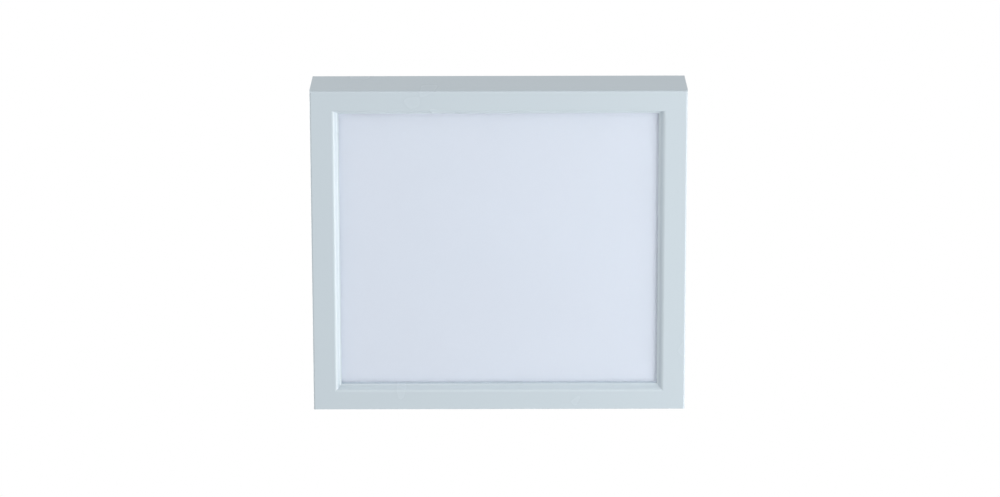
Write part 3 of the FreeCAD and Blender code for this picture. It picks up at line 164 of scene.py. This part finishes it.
def solder_mask(name, tone, shade):
    """Screen-printed solder mask: glossy lacquer over copper tracks that lift it slightly."""
    return finish(name, tone, shade, mottle=6.0, relief=3.0, depth=0.03, roughness=0.3)


def phosphor_resin():
    """Silicone with yellow phosphor over the light chips."""
    return finish("phosphor_silicone", "#F2E08A", "#EBD474", mottle=2.0, relief=0.6, depth=0.01,
                  roughness=0.35)


def thermal_tape():
    """Filled silicone tape: soft, pale blue-grey and dull."""
    return finish("thermal_silicone_tape", "#BFC7CC", "#B4BDC3", mottle=5.0, relief=0.5, depth=0.02,
                  roughness=0.8)


def galvanised_steel(name, cell):
    """Hot-dip galvanised sheet: crystals of zinc cell mm wide, each with its own grey and gloss."""
    material = finish(name, "#B9BEC1", "#AEB4B8", mottle=25.0, relief=0.7, depth=0.003, roughness=0.42,
                      fixed={"Metallic": 0.85})
    tree = material.node_tree
    shader = tree.nodes["Principled BSDF"]
    place = add(tree, "ShaderNodeTexCoord").outputs["Object"]
    crystals = add(tree, "ShaderNodeTexVoronoi", {"Vector": place, "Scale": 1 / (cell * MM)})
    grey = add(tree, "ShaderNodeSeparateColor", {"Color": crystals.outputs["Color"]})
    plain = shader.inputs["Base Color"].links[0].from_socket
    tint = add(tree, "ShaderNodeMapRange", {"Value": grey.outputs["Red"], "To Min": 0.0, "To Max": 0.35})
    mixed = add(tree, "ShaderNodeMix", {0: tint.outputs["Result"], MIX_A: plain, MIX_B: linear("#8F979C")},
                data_type="RGBA")
    tree.links.new(mixed.outputs[MIX_RESULT], shader.inputs["Base Color"])
    gloss = add(tree, "ShaderNodeMapRange", {"Value": grey.outputs["Green"], "To Min": 0.34, "To Max": 0.5})
    tree.links.new(gloss.outputs["Result"], shader.inputs["Roughness"])
    return material


def zinc_plate():
    """Bright zinc plating with a blue passivation: smooth, cool and shiny."""
    return finish("bright_zinc_plate", "#C6CCD1", "#BAC2C9", mottle=3.0, relief=0.4, depth=0.003,
                  roughness=0.24, fixed={"Metallic": 1.0})


LINES_STRETCH = 25.0  # how much longer than wide the rolling lines are


def rolled_spring_steel():
    """Cold-rolled spring steel: fine lines along the strip, a little oil-dark."""
    material = finish("rolled_spring_steel", "#9EA2A6", "#8D9196", mottle=6.0, relief=0.5, depth=0.003,
                      roughness=0.3, fixed={"Metallic": 1.0})
    tree = material.node_tree
    place = add(tree, "ShaderNodeTexCoord").outputs["Object"]
    along = add(tree, "ShaderNodeMapping", {"Vector": place, "Scale": (1.0, 1.0, 1 / LINES_STRETCH)})
    tree.links.new(along.outputs["Vector"], tree.nodes[RELIEF].inputs["Vector"])
    return material


def nitrile_rubber():
    """Moulded nitrile rubber: nearly black and dull, a little dusty."""
    return finish("nitrile_rubber", "#242527", "#2E2F31", mottle=3.0, relief=0.4, depth=0.01,
                  roughness=0.75)


def moulded_plastic(name, tone, shade, grain=0.5):
    """Injection moulded plastic with a fine spark-eroded grain."""
    return finish(name, tone, shade, mottle=18.0, relief=grain, depth=0.008, roughness=0.48)


def ferrite():
    """Pressed and fired ferrite: dark grey, dry and slightly pitted."""
    return finish("sintered_ferrite", "#38383C", "#2C2C30", mottle=4.0, relief=0.5, depth=0.02,
                  roughness=0.6)


def polyester_tape():
    """Yellow polyester tape wound over the coil: glossy, with the turns showing through."""
    return finish("polyester_tape", "#DDBB2C", "#CFA91F", mottle=3.0, relief=0.9, depth=0.03,
                  roughness=0.25)


def heat_shrink():
    """Plain shrink sleeve: black and shiny."""
    return finish("shrink_sleeve", "#1D1D20", "#26262A", mottle=4.0, relief=1.0, depth=0.01,
                  roughness=0.28)


def fuse_glass():
    """Drawn glass tube: clear, with a faint green cast."""
    return finish("drawn_glass", "#EEF3F2", "#E6EEEC", mottle=5.0, relief=2.0, depth=0.001,
                  roughness=0.05, spread=0.02, fixed={"Transmission Weight": 0.85})


def cord_sleeve(name, tone, shade):
    """Extruded vinyl insulation: smooth, with a soft sheen and faint drag marks."""
    return finish(name, tone, shade, mottle=9.0, relief=1.0, depth=0.004, roughness=0.36)


def striped_sleeve():
    """Green vinyl insulation with a yellow stripe extruded into it along both sides."""
    material = cord_sleeve("green_yellow_vinyl", "#2F8F46", "#27803D")
    tree = material.node_tree
    shader = tree.nodes["Principled BSDF"]
    green = shader.inputs["Base Color"].links[0].from_socket
    stripe = add(tree, "ShaderNodeAttribute", attribute_name="stripe")
    mixed = add(tree, "ShaderNodeMix", {0: stripe.outputs["Fac"], MIX_A: green, MIX_B: linear("#E3D02B")},
                data_type="RGBA")
    tree.links.new(mixed.outputs[MIX_RESULT], shader.inputs["Base Color"])
    return material


def tinned_brass():
    """Tin plate over brass: soft silver with a warm cast where it was crimped."""
    return finish("tinned_brass", "#CFCBC0", "#C0B9A6", mottle=2.5, relief=0.5, depth=0.004,
                  roughness=0.3, fixed={"Metallic": 1.0})


# Materials

WHITE_PLASTIC = moulded_plastic("moulded_white_abs", "#E2E2DE", "#DCDCD8")
ZINC_PLATE = zinc_plate()
SPRING_STEEL = rolled_spring_steel()
GALVANISED = galvanised_steel("galvanised_sheet", cell=5.0)
FERRITE = ferrite()
RED_VINYL = cord_sleeve("red_vinyl", "#B5262A", "#A41F23")
BLACK_VINYL = cord_sleeve("black_vinyl", "#232325", "#1B1B1D")
FINISH_OF = {
    "housing": powder_coat(),
    "diffuser": opal_acrylic(),
    "light_guide": clear_acrylic(),
    "reflector_sheet": reflector_film(),
    "foam_pad": polyethylene_foam(),
    "led_board": solder_mask("white_solder_mask", "#EDEDEA", "#E4E4E0"),
    "leds": phosphor_resin(),
    "thermal_tape": thermal_tape(),
    "back_plate": GALVANISED,
    "ceiling_strap": GALVANISED,
    "lead_grommets": nitrile_rubber(),
    "back_plate_screws": ZINC_PLATE,
    "driver_case_screws": ZINC_PLATE,
    "terminal_screws": ZINC_PLATE,
    "earth_screw": ZINC_PLATE,
    "earth_washer": ZINC_PLATE,
    "clip_rivets": ZINC_PLATE,
    "clip_spring": SPRING_STEEL,
    "terminal_clamps": SPRING_STEEL,
    "driver_case": WHITE_PLASTIC,
    "driver_connectors": WHITE_PLASTIC,
    "driver_board": solder_mask("green_solder_mask", "#1F6B3C", "#195A32"),
    "transformer_core": FERRITE,
    "driver_choke": FERRITE,
    "transformer_winding": polyester_tape(),
    "driver_capacitors": heat_shrink(),
    "driver_fuse": fuse_glass(),
    "driver_rectifier": moulded_plastic("moulded_black_epoxy", "#232325", "#2B2B2D", grain=0.3),
    "terminal_block": moulded_plastic("moulded_polyamide", "#E9E7DF", "#E2E0D6"),
    "release_button": moulded_plastic("orange_polyamide", "#D9702A", "#CF6523", grain=0.4),
    "live_lead": cord_sleeve("brown_vinyl", "#5B3320", "#50291A"),
    "neutral_lead": cord_sleeve("blue_vinyl", "#2C66B0", "#245AA0"),
    "earth_lead": striped_sleeve(),
    "lamp_lead_left_positive": RED_VINYL,
    "lamp_lead_left_negative": BLACK_VINYL,
    "lamp_lead_right_positive": RED_VINYL,
    "lamp_lead_right_negative": BLACK_VINYL,
    "earth_ring_terminal": tinned_brass(),
}


def finish_for(name):
    """The material of the longest key that a node's name starts with."""
    return FINISH_OF[max((key for key in FINISH_OF if name.startswith(key)), key=len)]


for name, node in frame["nodes"].items():
    node.data.materials.clear()
    node.data.materials.append(finish_for(name))


# Stage

FLOOR_LEVEL = -9500.0  # below every camera place, since the lamp hangs high and the lens stands far off
FLOOR_HALF = 60000.0  # half its side
FLOOR_GLOW = 0.435  # the even light on the floor, given here because the soft boxes face away from it


def white_behind(tree, lit, white):
    """A shader that lights the lamp as lit, and looks white in the picture, in gloss and through glass."""
    path = add(tree, "ShaderNodeLightPath")
    seen = path.outputs["Is Camera Ray"]
    for ray in ("Is Glossy Ray", "Is Transmission Ray"):
        seen = add(tree, "ShaderNodeMath", {0: seen, 1: path.outputs[ray]}, operation="MAXIMUM").outputs[0]
    return add(tree, "ShaderNodeMixShader", {0: seen, 1: lit.outputs[0], 2: white.outputs[0]}).outputs[0]


def floor():
    """A plain pale floor far below. It gives the lamp an even light, and is white in the picture."""
    bm = bmesh.new()
    bmesh.ops.create_grid(bm, x_segments=1, y_segments=1, size=FLOOR_HALF * MM)
    bmesh.ops.translate(bm, vec=(0, 0, FLOOR_LEVEL * MM), verts=bm.verts)
    mesh = bpy.data.meshes.new("floor")
    bm.to_mesh(mesh)
    plane = bpy.data.objects.new("floor", mesh)
    bpy.context.scene.collection.objects.link(plane)
    material = bpy.data.materials.new("pale_floor_paint")
    material.use_nodes = True
    tree = material.node_tree
    tree.nodes.remove(tree.nodes["Principled BSDF"])
    material.cycles.emission_sampling = "NONE"  # too wide a sheet to be aimed at like a lamp
    lit = add(tree, "ShaderNodeEmission", {"Color": linear("#E8E8E8"), "Strength": FLOOR_GLOW})
    white = add(tree, "ShaderNodeEmission", {"Strength": 1.0})
    tree.links.new(white_behind(tree, lit, white), tree.nodes["Material Output"].inputs["Surface"])
    mesh.materials.append(material)


WORLD_LEVEL = 0.43  # strength of the even light all round
SOFTBOXES = {
    # name: direction from the lamp, distance, width and height, and how bright it makes a white face
    "below": ((0.0, 0.0, -1.0), 3200.0, (2200.0, 2200.0), 0.235),
    "strip": ((0.799, 0.527, -0.291), 3200.0, (900.0, 2330.0), 0.295),
    "key": ((0.651, 0.527, -0.546), 3200.0, (1600.0, 1600.0), 0.139),
    "near": ((0.707, 0.0, -0.707), 900.0, (400.0, 400.0), 0.19),
    "side": ((0.866, 0.0, -0.5), 1600.0, (600.0, 600.0), 0.099),
    "front": ((0.0, -0.985, -0.17), 1600.0, (1600.0, 1600.0), 0.09),
    "front_right": ((0.6, -0.75, -0.28), 1600.0, (800.0, 800.0), 0.115),
    "front_left": ((-0.6, -0.75, -0.28), 1600.0, (800.0, 800.0), 0.165),
    "above": ((-0.45, 0.5, 0.74), 2600.0, (3000.0, 3000.0), 0.5),
}


def studio():
    """Even light all round, and soft boxes for the shading."""
    world = bpy.data.worlds.new("studio")
    bpy.context.scene.world = world
    world.use_nodes = True
    tree = world.node_tree
    lit = tree.nodes["Background"]
    lit.inputs["Strength"].default_value = WORLD_LEVEL
    lit.inputs["Color"].default_value = WHITE
    white = add(tree, "ShaderNodeBackground", {"Color": WHITE, "Strength": 1.0})
    tree.links.new(white_behind(tree, lit, white), tree.nodes["World Output"].inputs["Surface"])
    for name, (direction, distance, size, level) in SOFTBOXES.items():
        light = bpy.data.lights.new(name, "AREA")
        light.shape = "RECTANGLE"
        light.size, light.size_y = size[0] * MM, size[1] * MM
        light.energy = level * (math.pi * distance * MM) ** 2
        box = bpy.data.objects.new(name, light)
        bpy.context.scene.collection.objects.link(box)
        towards = Vector(direction).normalized()
        box.location = towards * distance * MM
        box.rotation_euler = towards.to_track_quat("Z", "Y").to_euler()
        box.visible_camera = False


# Pieces

BODIES = frame["record"]["behaviour"]["bodies"]
BODY_OF = {node: body for body, nodes in BODIES.items() for node in nodes}


def piece(name, bm, node, smooth_below=50.0, crease=lambda edge: False):
    """A finished piece that stands for a node, smooth except at creases and edges sharper than an angle."""
    for edge in bm.edges:
        edge.smooth = (len(edge.link_faces) == 2 and edge.calc_face_angle() < math.radians(smooth_below)
                       and not crease(edge))
    for face in bm.faces:
        face.smooth = True
    mesh = bpy.data.meshes.new(name)
    bm.to_mesh(mesh)
    bm.free()
    if "custom_normal" in mesh.attributes:  # left over from the node that the mesh was copied from
        mesh.attributes.remove(mesh.attributes["custom_normal"])
    mesh.materials.append(finish_for(node))
    made = bpy.data.objects.new(name, mesh)
    bpy.context.scene.collection.objects.link(made)
    weighted = made.modifiers.new("flat_faces_stay_flat", "WEIGHTED_NORMAL")
    weighted.keep_sharp = True
    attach(made, BODY_OF[node])
    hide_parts(node)
    return made


WELD = 0.001 * MM  # corners nearer than this are one
ON_DIAGONAL = 0.01 * MM  # how near a corner of a mitre lies to the diagonal
SAME_PLACE = 0.05 * MM  # how near a corner lies to the outline or axis that it belongs to
FLAT = math.radians(0.3)  # faces that turn less than this are one flat face
SHARP = math.radians(30.0)  # edges that turn more than this get rounded


def merged(node):
    """A node's shape as one clean closed mesh, each flat face a single polygon."""
    bm = bmesh.new()
    bm.from_mesh(frame["nodes"][node].data)
    bmesh.ops.remove_doubles(bm, verts=bm.verts, dist=WELD)
    bmesh.ops.dissolve_limit(bm, angle_limit=FLAT, verts=bm.verts, edges=bm.edges)
    return bm


def soften(bm, width, wanted=lambda edge: True, segments=2):
    """Round the sharp edges that meet a condition, as a mould or a press leaves them."""
    sharp = [e for e in bm.edges if len(e.link_faces) == 2 and e.calc_face_angle() > SHARP and wanted(e)]
    bmesh.ops.bevel(bm, geom=sharp, offset=width * MM, segments=segments, profile=0.5,
                    affect="EDGES", material=-1, clamp_overlap=True)


housing_low, housing_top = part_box("housing")
HALF = round(housing_top.x / MM, 3)  # half side of the square front
FACE = round(housing_low.z / MM, 3)  # height of the front face, below the ceiling at zero
SQUARES = (
    # square outlines of the housing: inset from the outer wall and rise from the front face in the solid,
    # the same two on the coated casting, and how far its edge is rounded, in how many steps
    ((18.1, 0.0), (18.75, 0.0), 1.65, 8),  # where the frame turns down into the bevel
    ((20.1, 2.7), (21.4, 3.6), 0.9, 6),  # foot of the bevel's steep part
    ((22.7, 4.3), (22.7, 3.7), 0.25, 4),  # lip round the diffuser
    ((2.2, -FACE), (2.2, -FACE), 0.25, 3),  # the wall's two edges at the ceiling
    ((4.2, -FACE), (4.2, -FACE), 0.25, 3),
)


def lies_on_square(vert, inset, rise):
    """Whether a corner lies on a square outline, given by its inset from the wall and rise from the face."""
    reach = max(abs(vert.co.x), abs(vert.co.y))
    return (abs(reach - (HALF - inset) * MM) < SAME_PLACE
            and abs(vert.co.z - (FACE + rise) * MM) < SAME_PLACE)


def shift_square(bm, old, new):
    """Move one square outline of the housing to another inset and rise."""
    share = (HALF - new[0]) / (HALF - old[0])
    for vert in bm.verts:
        if lies_on_square(vert, *old):
            vert.co.x *= share
            vert.co.y *= share
            vert.co.z = (FACE + new[1]) * MM


def on_mitre(edge):
    """Whether an edge lies on a diagonal of the square, where two sides of the frame meet."""
    return all(abs(abs(v.co.x) - abs(v.co.y)) < ON_DIAGONAL for v in edge.verts)


def coated_housing():
    """The cast housing: its bevel is one soft curve down to a narrow flat lip, and its edges are rounded."""
    bm = merged("housing")
    for solid, coated, _, _ in SQUARES:
        shift_square(bm, solid, coated)
    for _, coated, width, steps in SQUARES:
        soften(bm, width, lambda edge: all(lies_on_square(vert, *coated) for vert in edge.verts), steps)
    piece("coated_housing", bm, "housing", crease=on_mitre)


SOFTENED = {
    # piece: the node it stands for, and how far its edges are rounded
    "pressed_back_plate": ("back_plate", 0.15),
    "rolled_ceiling_strap": ("ceiling_strap", 0.15),
    "moulded_case_base": ("driver_case_base", 0.25),
    "moulded_terminal_block": ("terminal_block", 0.25),
    "bent_clip_left": ("clip_spring_left", 0.12),
    "bent_clip_right": ("clip_spring_right", 0.12),
    "stamped_ring_terminal": ("earth_ring_terminal", 0.1),
    "stamped_washer": ("earth_washer", 0.12),
}


def softened_pieces():
    """The pressed, bent and moulded pieces, with the small radii that their tools leave."""
    for name, (node, width) in SOFTENED.items():
        bm = merged(node)
        soften(bm, width)
        piece(name, bm, node)


def solids_of(node):
    """The lowest and highest corner of each separate solid of a node."""
    bm = merged(node)
    left = set(bm.verts)
    corners = []
    while left:
        reached = [left.pop()]
        for vert in reached:
            beside = {edge.other_vert(vert) for edge in vert.link_edges} & left
            left -= beside
            reached.extend(beside)
        spans = [[vert.co[axis] for vert in reached] for axis in range(3)]
        corners.append([Vector([pick(span) for span in spans]) for pick in (min, max)])
    bm.free()
    return sorted(corners, key=lambda pair: tuple(pair[0]))


def turned(outline, segments=40, closed=False):
    """A shape turned round the z axis from its outline, given as radius and height in millimetres."""
    bm = bmesh.new()
    corners = [bm.verts.new((radius * MM, 0.0, height * MM)) for radius, height in outline]
    edges = [bm.edges.new(pair) for pair in zip(corners, corners[1:])]
    if closed:
        edges.append(bm.edges.new((corners[-1], corners[0])))
    bmesh.ops.spin(bm, geom=corners + edges, cent=(0, 0, 0), axis=(0, 0, 1), angle=math.tau, steps=segments,
                   use_merge=True)
    bmesh.ops.remove_doubles(bm, verts=bm.verts, dist=WELD / 10)
    bmesh.ops.recalc_face_normals(bm, faces=bm.faces)
    return bm


def corners_in(geometry):
    """The corners among the corners, edges and faces that an operator gives back."""
    return [item for item in geometry if isinstance(item, bmesh.types.BMVert)]


TURN_ON = 137.5  # degrees from one copy to the next, so that no row of recesses lines up


def repeated(bm, places, turn=TURN_ON):
    """A shape made at the origin, copied to each place, every copy turned further round the z axis."""
    shape = bm.verts[:] + bm.edges[:] + bm.faces[:]
    for count, place in enumerate(places):
        verts = corners_in(bmesh.ops.duplicate(bm, geom=shape)["geom"])
        onward = Matrix.Rotation(math.radians(turn * count), 3, "Z")
        bmesh.ops.rotate(bm, verts=verts, cent=(0, 0, 0), matrix=onward)
        bmesh.ops.translate(bm, vec=place, verts=verts)
    bmesh.ops.delete(bm, geom=corners_in(shape), context="VERTS")
    return bm


HEAD_OUTLINE = (
    # pan head, as shares of its radius and height, from the underside to the rim of the flat top
    (0.93, 0.0), (1.0, 0.12), (1.0, 0.44), (0.96, 0.65), (0.87, 0.84), (0.74, 0.96), (0.6, 1.0),
)
POINT_OUTLINE = (
    # from the tip: width as a share of the core's, and rise as a share of the shank's radius
    (0.0, 0.0), (0.5, 0.5), (1.0, 1.2),
)
THREAD_START = 1.3  # of the shank's radius, up from the tip
RECESS_REACH = 0.5  # of the head's radius, from the middle to the end of a wing of the cross
RECESS_DEPTH = 0.7  # of the head's height
RECESS_TAPER = 0.55  # of its mouth, at its floor
THREAD_CORE = 0.8  # of the shank's radius
THREAD_FOOT = 0.4  # of the pitch, from the crest to each side of its foot
THREAD_SUNK = 0.05  # millimetres that the thread's foot lies inside the core
THREAD_STEPS = 18  # in each turn


def cross_recess(bm, radius, high):
    """Close the open top of a head with a flat ring round a tapering cross recess."""
    rim = [e for e in bm.edges if e.is_boundary]
    reach = RECESS_REACH * radius * MM
    verts = bmesh.ops.create_grid(bm, x_segments=3, y_segments=3, size=reach)["verts"]
    bmesh.ops.translate(bm, vec=(0, 0, high * MM), verts=verts)
    squares = {face for vert in verts for face in vert.link_faces}
    middles = {face: face.calc_center_median() for face in squares}
    corners = [face for face in squares if min(abs(middles[face].x), abs(middles[face].y)) > SAME_PLACE]
    cross = [face for face in squares if face not in corners]
    bmesh.ops.delete(bm, geom=corners, context="FACES")
    mouth = [edge for edge in bm.edges if edge.is_boundary and edge not in rim]
    bmesh.ops.triangle_fill(bm, use_beauty=True, edges=rim + mouth, normal=(0, 0, 1))
    sunk = bmesh.ops.extrude_face_region(bm, geom=cross)["geom"]
    bmesh.ops.delete(bm, geom=cross, context="FACES")
    floor_verts = corners_in(sunk)
    bmesh.ops.translate(bm, vec=(0, 0, -RECESS_DEPTH * high * MM), verts=floor_verts)
    bmesh.ops.scale(bm, vec=(RECESS_TAPER, RECESS_TAPER, 1.0), verts=floor_verts)
    bmesh.ops.recalc_face_normals(bm, faces=bm.faces)


def thread(bm, shank, low, high, pitch):
    """A helical ridge wound up a shank from a small triangle."""
    foot = THREAD_CORE * shank - THREAD_SUNK
    spread = THREAD_FOOT * pitch
    ridge = ((foot, low - spread), (shank, low), (foot, low + spread))
    corners = [bm.verts.new((radius * MM, 0.0, height * MM)) for radius, height in ridge]
    edges = [bm.edges.new((corners[i], corners[i - 1])) for i in range(3)]
    turns = (high - low) / pitch
    steps = round(THREAD_STEPS * turns)
    wound = bmesh.ops.spin(bm, geom=corners + edges, cent=(0, 0, 0), axis=(0, 0, 1), angle=math.tau * turns,
                           steps=steps, dvec=(0, 0, (high - low) / steps * MM))["geom_last"]
    bmesh.ops.contextual_create(bm, geom=corners)
    bmesh.ops.contextual_create(bm, geom=corners_in(wound))


SHEET_SCREWS = {
    # piece: node
    "back_plate_pan_heads": "back_plate_screws",
    "case_pan_heads": "driver_case_screws",
    "terminal_pan_heads": "terminal_screws",
}


def pan_head_screws(name, node, head, high, shank, pitch):
    """Cross-recessed pan head screws for a node whose screws all stand with their heads up.

    The radii of head and shank, the head's height and the thread's pitch are in millimetres.
    """
    solids = solids_of(node)
    length = (solids[0][1].z - solids[0][0].z) / MM - high
    core = THREAD_CORE * shank
    point = [(share * core, rise * shank - length) for share, rise in POINT_OUTLINE]
    bm = turned(point + [(core, 0.0)] + [(share * head, level * high) for share, level in HEAD_OUTLINE])
    cross_recess(bm, head, high)
    thread(bm, shank, THREAD_START * shank - length, -THREAD_FOOT * pitch, pitch)
    bmesh.ops.recalc_face_normals(bm, faces=bm.faces)
    places = [((low.x + top.x) / 2, (low.y + top.y) / 2, top.z - high * MM) for low, top in solids]
    piece(name, repeated(bm, places), node)


def both_ways(outline):
    """An outline of an upper half, followed by its mirror image below."""
    return list(outline) + [(radius, -height) for radius, height in reversed(outline)]


GROMMET_LIP = (
    # from the bore over the rounded lip down to the plate's hole
    (1.35, 0.9), (1.45, 1.15), (1.7, 1.3), (2.6, 1.3), (2.95, 1.2), (3.15, 0.95), (3.2, 0.5), (2.4, 0.5),
)


def moulded_grommets():
    """Rubber grommets with fat rounded lips on both sides of the plate."""
    bm = turned(both_ways(GROMMET_LIP), closed=True)
    places = [(low + high) / 2 for low, high in solids_of("lead_grommets")]
    piece("moulded_grommets", repeated(bm, places), "lead_grommets", smooth_below=75.0)


RIVET_DOME = (
    # from the top of the dome to its rim and in to the shank
    (0.0, 1.6), (0.9, 1.52), (1.55, 1.3), (1.92, 1.0), (2.0, 0.9), (1.2, 0.9),
)


def domed_rivets():
    """Rivets with a low dome on each side of the spring and the strap."""
    bm = turned(both_ways(RIVET_DOME), segments=32)
    lying = Matrix.Rotation(math.radians(90), 3, "Y")
    bmesh.ops.rotate(bm, verts=bm.verts, cent=(0, 0, 0), matrix=lying)
    places = [(low + high) / 2 for low, high in solids_of("clip_rivets")]
    piece("domed_rivets", repeated(bm, places, turn=0.0), "clip_rivets", smooth_below=40.0)


UPWARD = 0.99  # how upright the normal is of a face that looks up


def sunken_top(bm, margin, slope, depth):
    """Sink the largest upward face, but for a margin round it, between sides that lean in by slope."""
    top = max((face for face in bm.faces if face.normal.z > UPWARD), key=lambda face: face.calc_area())
    bmesh.ops.inset_individual(bm, faces=[top], thickness=margin * MM)
    bmesh.ops.inset_individual(bm, faces=[top], thickness=slope * MM, depth=-depth * MM)


def release_buttons():
    """Push buttons of the terminal, each with a slot for a screwdriver's tip."""
    for pole in ("live", "neutral", "earth"):
        node = "release_button_" + pole
        bm = merged(node)
        soften(bm, width=0.12)
        sunken_top(bm, margin=1.15, slope=0.1, depth=0.6)
        piece("slotted_button_" + pole, bm, node)


def case_lid():
    """The driver's lid, with a shallow panel moulded into its top."""
    bm = merged("driver_case_lid")
    soften(bm, width=0.3)
    sunken_top(bm, margin=2.0, slope=0.3, depth=0.3)
    piece("moulded_case_lid", bm, "driver_case_lid")


STRIPE_SLOPE = 0.62  # faces that look further up or down than this carry the stripe, half of the lead's girth


def striped_earth_lead():
    """The earth lead, with its stripes marked face by face along the top and the underside."""
    bm = merged("earth_lead")
    stripe = bm.faces.layers.float.new("stripe")
    for face in bm.faces:
        face[stripe] = float(abs(face.normal.z) > STRIPE_SLOPE)
    piece("striped_earth_lead", bm, "earth_lead")


def foam_pad():
    """Die-cut foam sheet: its cut edges roll over where the knife pressed them."""
    bm = merged("foam_pad")
    soften(bm, width=0.5, segments=3)
    piece("cut_foam_pad", bm, "foam_pad")


photograph_camera()
floor()
studio()
coated_housing()
softened_pieces()
for name, node in SHEET_SCREWS.items():
    pan_head_screws(name, node, head=2.8, high=1.7, shank=1.4, pitch=1.0)
pan_head_screws("earth_pan_head", "earth_screw", head=3.5, high=2.4, shank=1.9, pitch=0.7)
moulded_grommets()
domed_rivets()
release_buttons()
case_lid()
striped_earth_lead()
foam_pad()
